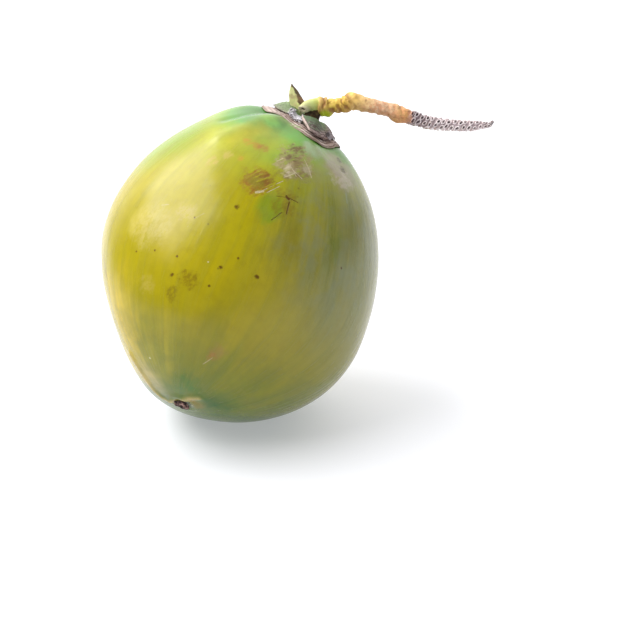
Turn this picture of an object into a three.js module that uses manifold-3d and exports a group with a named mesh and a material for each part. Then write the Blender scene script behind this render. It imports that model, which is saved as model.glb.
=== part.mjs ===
// A fresh green coconut lying at rest on one of the three blunt faces at its lower end.
//
// Frame, in millimetres: the origin is the centre of the small flat spot the fruit lies on, +Z is
// up, +X is the way the stalk reaches, and -Y is the side with the long soft ridge. The husk is one
// solid. Three petals lie on it around the stalk, three sepals lie on the petals, and the stalk
// with its single bract stands in the middle of them. The dried stigma sits in a dimple near the
// tip, on the -Y side.
import * as THREE from 'three';
import { mergeVertices } from 'three/addons/utils/BufferGeometryUtils.js';
import Module from 'manifold-3d';

// ---- driving dimensions, millimetres and degrees ----

// The husk, measured from a point inside the fruit where it is widest.
const STALK_HALF_LENGTH = 104;      // up to the stalk end
const TIP_HALF_LENGTH = 74.5;       // down to the tip
const HALF_WIDTH = 82;
const FULLNESS = 11;                // how sharply the blunt faces meet; higher is sharper
const FACE_COUNT = 3;
const FIRST_FACE_HEADING = 41;      // heading of the first pair of faces around the axis
const END_FACE_TILT = [34, 50, 27]; // each end face's lean away from the tip
const END_FACE_REACH = [87, 65.5, 104];
const SIDE_FACE_TILT = 12;          // the side faces narrow a little toward the tip
const SIDE_FACE_REACH = [78.5, 83.5, 93];
const SHOULDER_LEAN = 0.018;        // the shoulder by the stalk end is fuller on one side
const SHOULDER_HEADING = 144;
const LOBE_COUNT = 6;               // low swellings around the shoulder, furrows between them
const LOBE_SWELL = 0.01;
const LOBE_HEADING = 144;
const SHOULDER_ANGLE = 17;          // how far down from the stalk end the shoulder is
const SHOULDER_SPREAD = 10;

// How the fruit lies: its axis leans over and its centre stands above the rest spot.
const AXIS_LEAN = 24;
const AXIS_HEADING = 21;
const FRUIT_CENTRE = [-5.8, 0.5, 73.5];

// The stalk end: the perianth's middle stands a little off the axis.
const SEAT_DOWN = 3.6;              // degrees down from the stalk end of the axis
const SEAT_HEADING = 347;
const GAP = 0.35;                   // clearance left between neighbouring pieces

// Petals, the inner whorl, lying on the husk. Reach of their rim every 20 degrees from +X.
const PETAL_RIM = [
  24.0, 24.5, 25.5, 26.5, 26.5, 25.0, 25.0, 26.0, 27.0,
  24.0, 21.5, 19.6, 19.4, 22.6, 26.2, 24.6, 23.6, 24.2,
];
const PETAL_THICK = 1.0;
const PETAL_HEADING = 275;
// Sepals, the outer whorl, lying on the petals, each one lapping over the next.
const SEPAL_RIM = [
  18.6, 19.0, 19.5, 20.0, 20.0, 19.0, 19.0, 19.5, 19.5,
  18.0, 15.0, 12.6, 13.0, 16.0, 18.8, 17.4, 18.6, 19.0,
];
const SEPAL_THICK = 1.2;
const SEPAL_RIM_THICK = 0.8;
const SEPAL_CUSHION = 1.3;          // added thickness halfway out
const SEPAL_DOME = 1.2;             // and more of it on the first sepal's side
const SEPAL_HEADING = 342;
const SEPAL_LAP = 14;               // degrees each sepal reaches over its neighbour
const SEPAL_LAP_CLEAR = 0.5;        // clearance under the lapping edge
const COLLAR_RADIUS = 5.4;          // the hole in both whorls around the stalk's foot

// Stalk stations from the torn end to the tail: along X, along Y, up, radius.
const STALK = [
  [-4.2, -2.2, 9.4, 3.1],
  [0.7, 0.0, 10.6, 3.5],
  [5.2, 1.2, 11.1, 3.6],
  [8.6, 1.2, 10.4, 4.4],
  [11.0, 1.0, 10.0, 4.2],
  [14.4, 0.6, 10.5, 3.6],
  [19.5, 0.2, 11.4, 4.0],
  [24.5, -0.4, 13.0, 4.3],
  [29.0, -0.5, 12.6, 3.9],
  [34.5, -0.5, 10.9, 3.8],
  [43.0, -0.3, 9.2, 3.5],
  [50.7, 0.0, 6.3, 4.2],
  [59.3, 0.4, 3.4, 3.4],
  [68.6, 0.8, 0.8, 3.4],
  [79.5, 0.8, -0.4, 3.0],
  [88.7, 0.3, -0.8, 2.9],
  [95.4, 0.0, -0.3, 2.2],
  [101.0, -0.2, 0.0, 1.3],
  [103.4, -0.4, 2.1, 0.7],
];
const STALK_NECK = 9;               // the foot's height under the stalk, along its own axis
const STALK_FOOT_RADIUS = 4.9;
const STALK_FOOT_TOP = 4.2;
const STALK_FOOT_CLEAR = 1.3;       // its flat end stands clear of the curved skin
const KNOB_PITCH = 7.5;             // from one ring of knobs to the next
const KNOB_HEIGHT = 0.2;            // their swelling as a share of the radius
const SCAR_PITCH = 4.4;             // the flower scars on the tail are closer and sharper
const SCAR_HEIGHT = 0.32;
const RING_TURN = 137.5;            // degrees each ring of them is turned from the last
const TAIL_START = 58;              // where knobs give way to scars, along the stalk

// The bract: a pointed scale standing behind the torn end.
const BRACT_FOOT = [-4.9, 7.8, 9.6];
const BRACT_TIP = [-8.9, 5.2, 21.8];
const BRACT_HALF_WIDTH = 4.9;
const BRACT_THICK = 1.1;
const BRACT_CUP = 1.5;
const BRACT_SLANT = -0.5;           // its foot follows the slope of the sepals

// The dried stigma in its shallow dimple, to one side of the tip.
const STIGMA_DOWN = 138;            // degrees down from the stalk end of the axis
const STIGMA_TURN = 246;
const DIMPLE_BALL = 13;
const DIMPLE_DEPTH = 1.2;
const STIGMA_RADIUS = 4.2;
const STIGMA_THICK = 3.2;
const STIGMA_LOBES = 3;

const wasm = await Module();
wasm.setup();
const { Manifold, Mesh: SolidMesh } = wasm;

// ---- solids in and out of the boolean library ----

function toSolid(geometry) {
  const bare = geometry.clone();
  bare.deleteAttribute('normal');
  bare.deleteAttribute('uv');
  const merged = mergeVertices(bare, 1e-4);
  const vertProperties = Float32Array.from(merged.attributes.position.array);
  const triVerts = Uint32Array.from(merged.index.array);
  return new Manifold(new SolidMesh({ numProp: 3, vertProperties, triVerts }));
}

function toGeometry(solid) {
  const mesh = solid.getMesh();
  const geometry = new THREE.BufferGeometry();
  geometry.setAttribute('position', new THREE.BufferAttribute(mesh.vertProperties, 3));
  geometry.setIndex(new THREE.BufferAttribute(mesh.triVerts, 1));
  geometry.computeVertexNormals();
  return geometry;
}

// Moves every vertex of a ready-made closed geometry to the point a function gives for it.
function reshape(geometry, place) {
  const position = geometry.attributes.position;
  const point = new THREE.Vector3();
  for (let i = 0; i < position.count; i += 1) {
    point.fromBufferAttribute(position, i);
    const moved = place(point);
    position.setXYZ(i, moved.x, moved.y, moved.z);
  }
  geometry.computeVertexNormals();
  return geometry;
}

// ---- the husk's skin ----

const radians = THREE.MathUtils.degToRad;

// Three faces at the tip end and three at the sides, one pair in each of three headings.
function makeFaces() {
  const faces = [];
  for (let k = 0; k < FACE_COUNT; k += 1) {
    const heading = radians(FIRST_FACE_HEADING + (360 * k) / FACE_COUNT);
    const end = radians(END_FACE_TILT[k]);
    const side = radians(SIDE_FACE_TILT);
    const outward = new THREE.Vector3(Math.cos(heading), Math.sin(heading), 0);
    const endNormal = outward.clone().multiplyScalar(Math.sin(end)).setZ(-Math.cos(end));
    const sideNormal = outward.clone().multiplyScalar(Math.cos(side)).setZ(-Math.sin(side));
    faces.push({ normal: endNormal, reach: END_FACE_REACH[k] });
    faces.push({ normal: sideNormal, reach: SIDE_FACE_REACH[k] });
  }
  return faces;
}

const FACES = makeFaces();

// The low shoulder around the stalk end, as a share of the size there.
function shoulder(p) {
  const down = THREE.MathUtils.radToDeg(Math.atan2(Math.hypot(p.x, p.y), p.z));
  const fade = Math.exp(-(((down - SHOULDER_ANGLE) / SHOULDER_SPREAD) ** 2));
  const turn = Math.atan2(p.y, p.x);
  const lean = SHOULDER_LEAN * Math.max(0, Math.cos(turn - radians(SHOULDER_HEADING)));
  const lobes = LOBE_SWELL * Math.cos(LOBE_COUNT * (turn - radians(LOBE_HEADING)));
  return 1 + fade * (lean + lobes);
}

// Below 1 inside the husk, 1 on its skin: an egg shape blended with the six faces.
function depth(p) {
  const half = p.z > 0 ? STALK_HALF_LENGTH : TIP_HALF_LENGTH;
  const egg = Math.hypot(p.x / HALF_WIDTH, p.y / HALF_WIDTH, p.z / half);
  let sum = egg ** FULLNESS;
  for (const face of FACES) {
    sum += Math.max(0, p.dot(face.normal) / face.reach) ** FULLNESS;
  }
  return sum ** (1 / FULLNESS) / shoulder(p);
}

function onSkin(direction) {
  return direction.clone().divideScalar(depth(direction));
}

function skinNormal(p) {
  const step = 0.5;
  const slope = new THREE.Vector3();
  for (const axis of ['x', 'y', 'z']) {
    const ahead = p.clone();
    const behind = p.clone();
    ahead[axis] += step;
    behind[axis] -= step;
    slope[axis] = depth(ahead) - depth(behind);
  }
  return slope.normalize();
}

// ---- where things stand ----

const fruit = new THREE.Group();
fruit.rotation.set(0, radians(AXIS_LEAN), radians(AXIS_HEADING), 'ZYX');
fruit.position.set(...FRUIT_CENTRE);
fruit.updateMatrix();

// A point on the skin: degrees down from the stalk end of the axis, and a heading around it.
function skinAt(down, heading) {
  const across = Math.sin(radians(down));
  return onSkin(new THREE.Vector3(
    across * Math.cos(radians(heading)),
    across * Math.sin(radians(heading)),
    Math.cos(radians(down)),
  ));
}

// The perianth's own frame: Z out of the husk, X as near as it can be to the way the stalk reaches.
const seat = skinAt(SEAT_DOWN, SEAT_HEADING);
const perianth = new THREE.Group();
perianth.position.copy(seat).applyMatrix4(fruit.matrix);
const outOfHusk = skinNormal(seat).transformDirection(fruit.matrix);
const alongStalk = new THREE.Vector3(1, 0, 0).projectOnPlane(outOfHusk).normalize();
const acrossStalk = outOfHusk.clone().cross(alongStalk);
perianth.quaternion.setFromRotationMatrix(
  new THREE.Matrix4().makeBasis(alongStalk, acrossStalk, outOfHusk),
);
perianth.updateMatrix();
const perianthToFruit = fruit.matrix.clone().invert().multiply(perianth.matrix);

// Height of the skin in the perianth's frame, found by halving the span it lies in.
function skinHeight(x, y) {
  let low = -30;
  let high = 5;
  for (let i = 0; i < 40; i += 1) {
    const middle = (low + high) / 2;
    const p = new THREE.Vector3(x, y, middle).applyMatrix4(perianthToFruit);
    if (depth(p) < 1) low = middle;
    else high = middle;
  }
  return low;
}

// ---- the pieces ----

const scarPoint = skinAt(STIGMA_DOWN, STIGMA_TURN);
const scarOut = skinNormal(scarPoint);

function huskGeometry() {
  const ball = new THREE.SphereGeometry(1, 72, 48);
  ball.rotateX(Math.PI / 2);
  const skin = reshape(ball, (p) => onSkin(p.clone().normalize()));
  const floor = new THREE.BoxGeometry(400, 400, 100);
  floor.translate(0, 0, -50);
  floor.applyMatrix4(fruit.matrix.clone().invert());
  const dimple = new THREE.SphereGeometry(DIMPLE_BALL, 32, 24);
  const away = scarOut.clone().multiplyScalar(DIMPLE_BALL - DIMPLE_DEPTH);
  dimple.translate(...scarPoint.clone().add(away));
  return toGeometry(toSolid(skin).subtract(toSolid(floor)).subtract(toSolid(dimple)));
}

// A thin scale bent from a block: u runs clockwise across it, v outward, w through its thickness.
function bentBlock(across, outward, place) {
  const block = new THREE.BoxGeometry(1, 1, 1, across, outward, 1);
  return reshape(block, (p) => place(p.x + 0.5, p.y + 0.5, p.z + 0.5));
}

// A whorl's rim at a heading in degrees: a smooth curve through the reaches listed around it.
function rimReach(rim, heading) {
  const turn = THREE.MathUtils.euclideanModulo(heading, 360) / (360 / rim.length);
  const step = Math.floor(turn);
  const at = (k) => rim[(step + k + rim.length) % rim.length];
  const t = turn - step;
  const bend = 2 * at(-1) - 5 * at(0) + 4 * at(1) - at(2);
  const twist = 3 * (at(0) - at(1)) + at(2) - at(-1);
  return (2 * at(0) + (at(1) - at(-1)) * t + bend * t * t + twist * t * t * t) / 2;
}

function onPerianth(radius, degrees) {
  return [radius * Math.cos(radians(degrees)), radius * Math.sin(radians(degrees))];
}

function petalGeometry(heading) {
  return bentBlock(16, 9, (u, v, w) => {
    const side = 1 - 2 * u;
    const rim = rimReach(PETAL_RIM, heading + 60 * side);
    const radius = THREE.MathUtils.lerp(COLLAR_RADIUS, rim, v);
    const half = 60 - THREE.MathUtils.radToDeg(Math.asin(GAP / 2 / radius));
    const [x, y] = onPerianth(radius, heading + side * half);
    const thick = PETAL_THICK * (1 - 0.35 * v ** 4);
    return new THREE.Vector3(x, y, skinHeight(x, y) + GAP + w * thick);
  });
}

function sepalThickness(v, heading) {
  const toDome = Math.max(0, Math.cos(radians(heading - SEPAL_HEADING)));
  const cushion = SEPAL_CUSHION + SEPAL_DOME * toDome;
  return THREE.MathUtils.lerp(SEPAL_THICK, SEPAL_RIM_THICK, v) + cushion * Math.sin(Math.PI * v);
}

// A sepal climbs over its neighbour along one edge, so the three lap around like a whorl.
function sepalGeometry(heading) {
  const span = 120 + SEPAL_LAP;
  return bentBlock(22, 9, (u, v, w) => {
    const turn = u * span;
    const here = heading + 60 - turn;
    const radius = THREE.MathUtils.lerp(COLLAR_RADIUS, rimReach(SEPAL_RIM, here), v);
    const [x, y] = onPerianth(radius, here);
    const thick = sepalThickness(v, here);
    const climb = (thick + SEPAL_LAP_CLEAR) * THREE.MathUtils.smoothstep(turn, 84, 118);
    const base = skinHeight(x, y) + PETAL_THICK + 2 * GAP;
    return new THREE.Vector3(x, y, base + climb + w * thick);
  });
}

// Rings of bumps, each ring turned from the last, as leaves and flowers grow.
function ringsOfBumps(along, around, pitch) {
  const ring = Math.round(along / pitch);
  const onRing = Math.max(0, Math.cos((2 * Math.PI * along) / pitch));
  const onBump = Math.cos(2 * (around - radians(RING_TURN) * ring));
  return onRing * Math.max(0, 0.3 + 0.7 * onBump);
}

// How much the knobs and flower scars swell the stalk at a place along it and around it.
function swelling(along, around) {
  const start = THREE.MathUtils.smoothstep(along, 14, 22);
  const tail = THREE.MathUtils.smoothstep(along, TAIL_START - 3, TAIL_START + 3);
  const knobs = KNOB_HEIGHT * ringsOfBumps(along, around, KNOB_PITCH);
  const scars = SCAR_HEIGHT * ringsOfBumps(along, around, SCAR_PITCH);
  return start * (1 - tail) * knobs + tail * scars;
}

function stalkGeometry() {
  const middles = STALK.map(([x, y, z]) => new THREE.Vector3(x, y, z));
  const radii = new THREE.SplineCurve(STALK.map((row, i) => new THREE.Vector2(i, row[3])));
  const path = new THREE.CatmullRomCurve3(middles, false, 'centripetal');
  const rings = 128;
  const frames = path.computeFrenetFrames(rings, false);
  const length = path.getLength();
  const tube = new THREE.CylinderGeometry(1, 1, 1, 16, rings, false);
  reshape(tube, (p) => {
    const step = Math.round((0.5 - p.y) * rings);
    const share = step / rings;
    const around = Math.atan2(p.z, p.x);
    const base = radii.getPoint(path.getUtoTmapping(share)).y;
    const swell = 1 + swelling(share * length, around);
    const radius = Math.hypot(p.x, p.z) * base * swell;
    return path.getPointAt(share)
      .addScaledVector(frames.normals[step], radius * Math.cos(around))
      .addScaledVector(frames.binormals[step], radius * Math.sin(around));
  });
  return tube;
}

// The foot runs down from the stalk through the collar and stops just above the husk.
function stalkWithFoot() {
  const height = STALK_NECK + 1.2;
  const foot = new THREE.CylinderGeometry(STALK_FOOT_TOP, STALK_FOOT_RADIUS, height, 24, 2);
  foot.rotateX(Math.PI / 2);
  foot.translate(0, 0, height / 2 + STALK_FOOT_CLEAR);
  const turn = new THREE.Matrix4().makeRotationFromQuaternion(perianth.quaternion);
  foot.applyMatrix4(turn);
  return toGeometry(toSolid(stalkGeometry()).add(toSolid(foot)));
}

function bractGeometry() {
  const foot = new THREE.Vector3(...BRACT_FOOT);
  const tip = new THREE.Vector3(...BRACT_TIP);
  return bentBlock(8, 10, (u, v, w) => {
    const side = 2 * u - 1;
    const half = 0.25 + BRACT_HALF_WIDTH * (1 - v);
    const middle = foot.clone().lerp(tip, v);
    const cup = BRACT_CUP * side * side * (1 - v);
    const thick = BRACT_THICK * (1 - 0.5 * v);
    const slant = BRACT_SLANT * side * half * (1 - v);
    return middle.add(new THREE.Vector3(side * half, -cup - w * thick, slant));
  });
}

function stigmaGeometry() {
  const ball = new THREE.SphereGeometry(1, 24, 12);
  ball.rotateX(Math.PI / 2);
  return reshape(ball, (p) => {
    const spread = Math.hypot(p.x, p.y);
    const lobes = 1 + 0.12 * spread * Math.cos(STIGMA_LOBES * Math.atan2(p.y, p.x));
    const radius = STIGMA_RADIUS * lobes;
    const floor = GAP - DIMPLE_DEPTH + (radius * spread) ** 2 / (2 * DIMPLE_BALL);
    const height = floor + (STIGMA_THICK * (p.z + 1)) / 2;
    return new THREE.Vector3(p.x * radius, p.y * radius, height);
  });
}

// ---- the object ----

function finish(colour, roughness) {
  return new THREE.MeshStandardMaterial({ color: colour, roughness, metalness: 0 });
}

function piece(name, geometry, material, parent) {
  const mesh = new THREE.Mesh(geometry, material);
  mesh.name = name;
  parent.add(mesh);
  return mesh;
}

const coconut = new THREE.Group();
coconut.add(fruit);
coconut.add(perianth);

piece('husk', huskGeometry(), finish(0xa9b42b, 0.38), fruit);
for (let k = 0; k < FACE_COUNT; k += 1) {
  const petal = petalGeometry(PETAL_HEADING + 120 * k);
  const sepal = sepalGeometry(SEPAL_HEADING + 120 * k);
  piece(`petal_${k + 1}`, petal, finish(0x8a6d5c, 0.7), perianth);
  piece(`sepal_${k + 1}`, sepal, finish(0x6f7f5a, 0.65), perianth);
}

const aboveSeat = new THREE.Group();
aboveSeat.position.copy(perianth.position);
coconut.add(aboveSeat);
piece('stalk', stalkWithFoot(), finish(0xc9a24e, 0.7), aboveSeat);
piece('bract', bractGeometry(), finish(0xa9b36a, 0.6), aboveSeat);

const stigma = piece('stigma', stigmaGeometry(), finish(0x2c221b, 0.85), fruit);
stigma.position.copy(scarPoint);
stigma.quaternion.setFromUnitVectors(new THREE.Vector3(0, 0, 1), scarOut);

export default coconut;
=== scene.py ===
# %% [markdown]
# # A fresh green coconut
#
# A coconut as it comes off the palm: a waxy green husk, a whorl of six leathery scales where it
# hung, a knobbly stalk that carried the flowers, and a dried scar near the tip. This lesson
# dresses a packed engineering model in its real skin. The model gives sizes and places, and
# everything here is built around it in metres, so nothing has to be fitted by eye.

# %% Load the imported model
import math

import bmesh
import bpy
import numpy as np
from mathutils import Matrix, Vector, noise


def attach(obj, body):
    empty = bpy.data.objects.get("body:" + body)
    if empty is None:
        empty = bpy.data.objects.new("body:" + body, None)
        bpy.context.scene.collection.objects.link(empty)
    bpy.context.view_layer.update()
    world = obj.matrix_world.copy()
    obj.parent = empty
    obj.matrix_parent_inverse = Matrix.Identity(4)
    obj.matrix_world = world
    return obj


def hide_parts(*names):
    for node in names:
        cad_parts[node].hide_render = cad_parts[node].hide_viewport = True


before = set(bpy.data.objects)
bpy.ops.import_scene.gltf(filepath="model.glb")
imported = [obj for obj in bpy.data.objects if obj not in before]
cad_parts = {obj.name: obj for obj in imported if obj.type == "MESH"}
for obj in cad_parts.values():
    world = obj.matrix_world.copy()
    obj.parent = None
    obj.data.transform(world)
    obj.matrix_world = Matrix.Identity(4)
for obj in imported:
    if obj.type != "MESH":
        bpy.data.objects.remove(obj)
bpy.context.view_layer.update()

scene = bpy.context.scene
MM = 0.001

# %% [markdown]
# ## Camera
#
# A camera is a lens and a place to stand. The long 85 mm lens is what a product photographer
# would use for fruit: it keeps the round husk from bulging. Depth of field stays off, so every
# part of the skin is sharp enough to learn from.

# %% Set up the camera
CAMERA_PLACE = (0.0430, -0.78939, 0.37606)
LOOKING_DOWN = 22

lens = bpy.data.cameras.new("studio_camera")
lens.lens = 85
lens.sensor_width = 36
lens.sensor_fit = "HORIZONTAL"
lens.clip_end = 20
camera = bpy.data.objects.new("studio_camera", lens)
camera.location = CAMERA_PLACE
camera.rotation_euler = (math.radians(90 - LOOKING_DOWN), 0, 0)
scene.collection.objects.link(camera)
scene.camera = camera
scene.view_settings.view_transform = "Standard"
print("camera stands", round(camera.location.length, 2), "m from the rest spot")

# %% [markdown]
# ## Light and floor
#
# Waxy fruit is mostly judged by its highlight. One large soft box on the left gives the broad
# pale sheen over the shoulder, and a white room all around fills the shadows and rims the
# outline. The floor glows a little, as a lit table does, and keeps the shadow soft. The
# alternative, several small lamps, would put hard dots on the wax.

# %% Light the room
def aim(thing, target):
    thing.rotation_euler = (Vector(target) - thing.location).to_track_quat("-Z", "Y").to_euler()


def add_soft_box(name, place, target, width, height, power):
    box = bpy.data.lights.new(name, "AREA")
    box.shape = "RECTANGLE"
    box.size = width
    box.size_y = height
    box.energy = power
    lamp = bpy.data.objects.new(name, box)
    lamp.location = place
    aim(lamp, target)
    scene.collection.objects.link(lamp)
    return lamp


FRUIT_MIDDLE = (0.0, 0.0, 0.09)
KEY_PLACE = (-0.84, -0.05, 1.16)
KEY_WATTS = 29
key_box = add_soft_box("key_box", KEY_PLACE, FRUIT_MIDDLE, 1.75, 0.9, KEY_WATTS)
print("key light stands", round((key_box.location - Vector(FRUIT_MIDDLE)).length, 2), "m away")

# %% Paint the room white
SEEN_BRIGHTNESS = 1.0
BACK_BRIGHTNESS = 1.45
FRONT_BRIGHTNESS = 0.20
BRIGHT_WAY = (0.0, 0.8, 0.6)
DIM_TO_BRIGHT = (0.32, 0.70)


def make_room(seen, behind, front):
    """A white surround: bright behind and overhead, dim on the side the viewer stands on."""
    room = bpy.data.worlds.new("white_room")
    room.use_nodes = True
    nodes, links = room.node_tree.nodes, room.node_tree.links
    way = nodes.new("ShaderNodeTexCoord").outputs["Generated"]
    lean = nodes.new("ShaderNodeVectorMath")
    lean.operation = "DOT_PRODUCT"
    lean.inputs[1].default_value = BRIGHT_WAY
    links.new(way, lean.inputs[0])
    fill = nodes.new("ShaderNodeMapRange")
    fill.interpolation_type = "SMOOTHSTEP"
    for label, value in (("From Min", DIM_TO_BRIGHT[0]), ("From Max", DIM_TO_BRIGHT[1]),
                         ("To Min", front), ("To Max", behind)):
        fill.inputs[label].default_value = value
    links.new(lean.outputs["Value"], fill.inputs["Value"])
    looked_at = nodes.new("ShaderNodeLightPath").outputs["Is Camera Ray"]
    strength = nodes.new("ShaderNodeMapRange")
    strength.inputs["To Max"].default_value = seen
    links.new(looked_at, strength.inputs["Value"])
    links.new(fill.outputs["Result"], strength.inputs["To Min"])
    nodes["Background"].inputs["Color"].default_value = (1, 1, 1, 1)
    links.new(strength.outputs["Result"], nodes["Background"].inputs["Strength"])
    return room


scene.world = make_room(SEEN_BRIGHTNESS, BACK_BRIGHTNESS, FRONT_BRIGHTNESS)
print("room brightness from", FRONT_BRIGHTNESS, "in front to", BACK_BRIGHTNESS, "behind")

# %% Lay the floor
FLOOR_HALF = 4
FLOOR_GLOW = 0.36

floor_mesh = bmesh.new()
bmesh.ops.create_grid(floor_mesh, x_segments=1, y_segments=1, size=FLOOR_HALF)
floor_data = bpy.data.meshes.new("floor")
floor_mesh.to_mesh(floor_data)
floor_mesh.free()
floor = bpy.data.objects.new("floor", floor_data)
scene.collection.objects.link(floor)

floor_paint = bpy.data.materials.new("pale_floor")
floor_paint.use_nodes = True
floor_shader = floor_paint.node_tree.nodes["Principled BSDF"]
for label, value in (("Base Color", (0.66, 0.66, 0.685, 1)), ("Roughness", 0.6),
                     ("Emission Color", (0.93, 0.95, 1.0, 1)), ("Emission Strength", FLOOR_GLOW)):
    floor_shader.inputs[label].default_value = value
floor_data.materials.append(floor_paint)
print("floor is", 2 * FLOOR_HALF, "m wide")

# %% [markdown]
# ## The shape of the husk
#
# A coconut grows squeezed between its neighbours, so the round egg it starts as ends up with
# three blunt faces at the tip and three at the sides. The shape is written here as one formula:
# a number that is below 1 inside and 1 on the skin. An egg term and six face terms are blended
# with a high power, and the power sets how sharply the faces meet. A formula is easier to keep
# true to the engineering model than a sculpted mesh, and every other piece can ask it where the
# skin is.

# %% The husk formula
HALF_TO_STALK = 104.0 * MM
HALF_TO_TIP = 74.5 * MM
HALF_WIDTH = 82.0 * MM
FULLNESS = 11
FACE_HEADINGS = (41, 161, 281)
END_FACE_TILTS = (34, 50, 27)
END_FACE_REACHES = (87 * MM, 65.5 * MM, 104 * MM)
SIDE_FACE_TILT = 12
SIDE_FACE_REACHES = (78.5 * MM, 83.5 * MM, 93 * MM)
SHOULDER_LEAN = 0.018
SHOULDER_TURN = math.radians(144)
LOBE_SWELL = 0.01


def direction(down, turn):
    """Unit vector so many degrees down from the stalk end, at a turn around the fruit."""
    down, turn = np.radians(down), np.radians(turn)
    return np.stack(np.broadcast_arrays(
        np.sin(down) * np.cos(turn), np.sin(down) * np.sin(turn), np.cos(down)), -1)


def husk_faces():
    rows = zip(FACE_HEADINGS, END_FACE_TILTS, END_FACE_REACHES, SIDE_FACE_REACHES)
    for heading, end_tilt, end_reach, side_reach in rows:
        yield direction(180 - end_tilt, heading), end_reach
        yield direction(90 + SIDE_FACE_TILT, heading), side_reach


FACES = list(husk_faces())


def shoulder(p):
    """The fuller shoulder and its six faint lobes around the stalk end, as a share of size."""
    down = np.degrees(np.arctan2(np.hypot(p[..., 0], p[..., 1]), p[..., 2]))
    turn = np.arctan2(p[..., 1], p[..., 0]) - SHOULDER_TURN
    fade = np.exp(-(((down - 17) / 10) ** 2))
    return 1 + fade * (SHOULDER_LEAN * np.maximum(0, np.cos(turn)) + LOBE_SWELL * np.cos(6 * turn))


def depth(p):
    """Below 1 inside the husk, 1 on its skin. Points are rows of x, y, z along the fruit's axis."""
    half = np.where(p[..., 2] > 0, HALF_TO_STALK, HALF_TO_TIP)
    egg = np.sqrt((p[..., 0] / HALF_WIDTH) ** 2 + (p[..., 1] / HALF_WIDTH) ** 2
                  + (p[..., 2] / half) ** 2)
    total = egg ** FULLNESS
    for normal, reach in FACES:
        total = total + np.maximum(0, p @ normal / reach) ** FULLNESS
    return total ** (1 / FULLNESS) / shoulder(p)


def on_skin(way):
    return way / depth(way)[..., None]


def skin_normal(p):
    step = 0.5 * MM
    slope = [depth(p + step * axis) - depth(p - step * axis) for axis in np.eye(3)]
    slope = np.stack(slope, -1)
    return slope / np.linalg.norm(slope, axis=-1, keepdims=True)


print("husk width at the equator in mm:", round(2 * HALF_WIDTH / MM))

# %% [markdown]
# ## How the fruit lies
#
# The formula is written along the fruit's own axis. The fruit lies tilted on one blunt face, so
# one turn and one shift take a point from the fruit to the room. The same numbers go into a
# Mapping node later, and that is how a pattern in the skin can follow the fruit instead of the
# floor.

# %% Turn and place the fruit
AXIS_LEAN = math.radians(24)
AXIS_HEADING = math.radians(21)
FRUIT_CENTRE = np.array([-5.8, 0.5, 73.5]) * MM


def turn_matrix(lean, heading):
    cl, sl, ch, sh = math.cos(lean), math.sin(lean), math.cos(heading), math.sin(heading)
    lean_over = np.array([[cl, 0, sl], [0, 1, 0], [-sl, 0, cl]])
    head_round = np.array([[ch, -sh, 0], [sh, ch, 0], [0, 0, 1]])
    return head_round @ lean_over


FRUIT_TURN = turn_matrix(AXIS_LEAN, AXIS_HEADING)


def fruit_to_room(p):
    return p @ FRUIT_TURN.T + FRUIT_CENTRE


def room_to_fruit(p):
    return (p - FRUIT_CENTRE) @ FRUIT_TURN


def at(down, turn):
    """A place on the skin, in the fruit's own axes."""
    return on_skin(direction(down, turn))


# %% Helpers for meshes
def smoothstep(x, low, high):
    t = np.clip((x - low) / (high - low), 0, 1)
    return t * t * (3 - 2 * t)


def bump(x, middle, width):
    return np.exp(-(((x - middle) / width) ** 2))


def curve_between(a, b, c, d, t):
    """A smooth curve from b to c for t from 0 to 1; a and d are the points before and after."""
    bend, twist = 2 * a - 5 * b + 4 * c - d, 3 * (b - c) + d - a
    return (2 * b + (c - a) * t + bend * t ** 2 + twist * t ** 3) / 2


def flat_points(x, y):
    return np.stack([x, y, np.zeros_like(x)], -1)


def read_points(bm):
    return np.array([v.co for v in bm.verts])


def write_points(bm, points):
    for vert, point in zip(bm.verts, points):
        vert.co = point


def save_mask(bm, name, strength):
    """Keeps a number for each point under a name that a material can read."""
    layer = bm.verts.layers.float.new(name)
    for vert in bm.verts:
        vert[layer] = strength[vert.index]


def wobble(points, size, seed=0.0):
    """Smooth noise from -1 to 1 at each point, with lumps about that size across."""
    shift = Vector((seed, 7.3 * seed, -3.1 * seed))
    return np.array([noise.noise(Vector(p) / size + shift) for p in points])


def finish_piece(name, bm, slot, *nodes):
    """Closes off a bmesh as a piece that stands for its model nodes."""
    bmesh.ops.recalc_face_normals(bm, faces=bm.faces)
    open_edges = sum(1 for edge in bm.edges if not edge.is_manifold)
    mesh = bpy.data.meshes.new(name)
    bm.to_mesh(mesh)
    bm.free()
    mesh.polygons.foreach_set("use_smooth", [True] * len(mesh.polygons))
    piece = bpy.data.objects.new(name, mesh)
    scene.collection.objects.link(piece)
    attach(piece, "root")
    if nodes:
        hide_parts(*nodes)
    print(name, len(mesh.polygons), "faces,", open_edges, "open edges")
    return piece


# %% [markdown]
# ## The husk skin
#
# A UV sphere is a good start for a fruit: its poles fall where the stalk and the tip are, and
# its columns run the way the fibres under the skin run. Each of its points slides along its own
# ray to the skin. Then the small relief goes on: broad lumps, a fold that runs up to the stalk,
# the ridge where the end face begins, and the dimple of the scar.

# %% Relief on the skin
CREST = [(31, 201), (26, 205), (22, 208), (18, 209), (14, 207), (11, 213), (8.5, 230), (10.5, 254)]
VALLEY = [(24, 182), (20, 185), (15, 183), (11, 176)]
TIP_RIDGE = [(122, 213), (126.4, 216.8), (129.7, 219.6), (134.1, 223), (138.6, 226.3),
             (141.6, 231.9), (140.7, 237.9), (135.2, 244), (130.1, 248.5), (127.6, 252.5)]
SCAR_PLACE = (138, 246)


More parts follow.
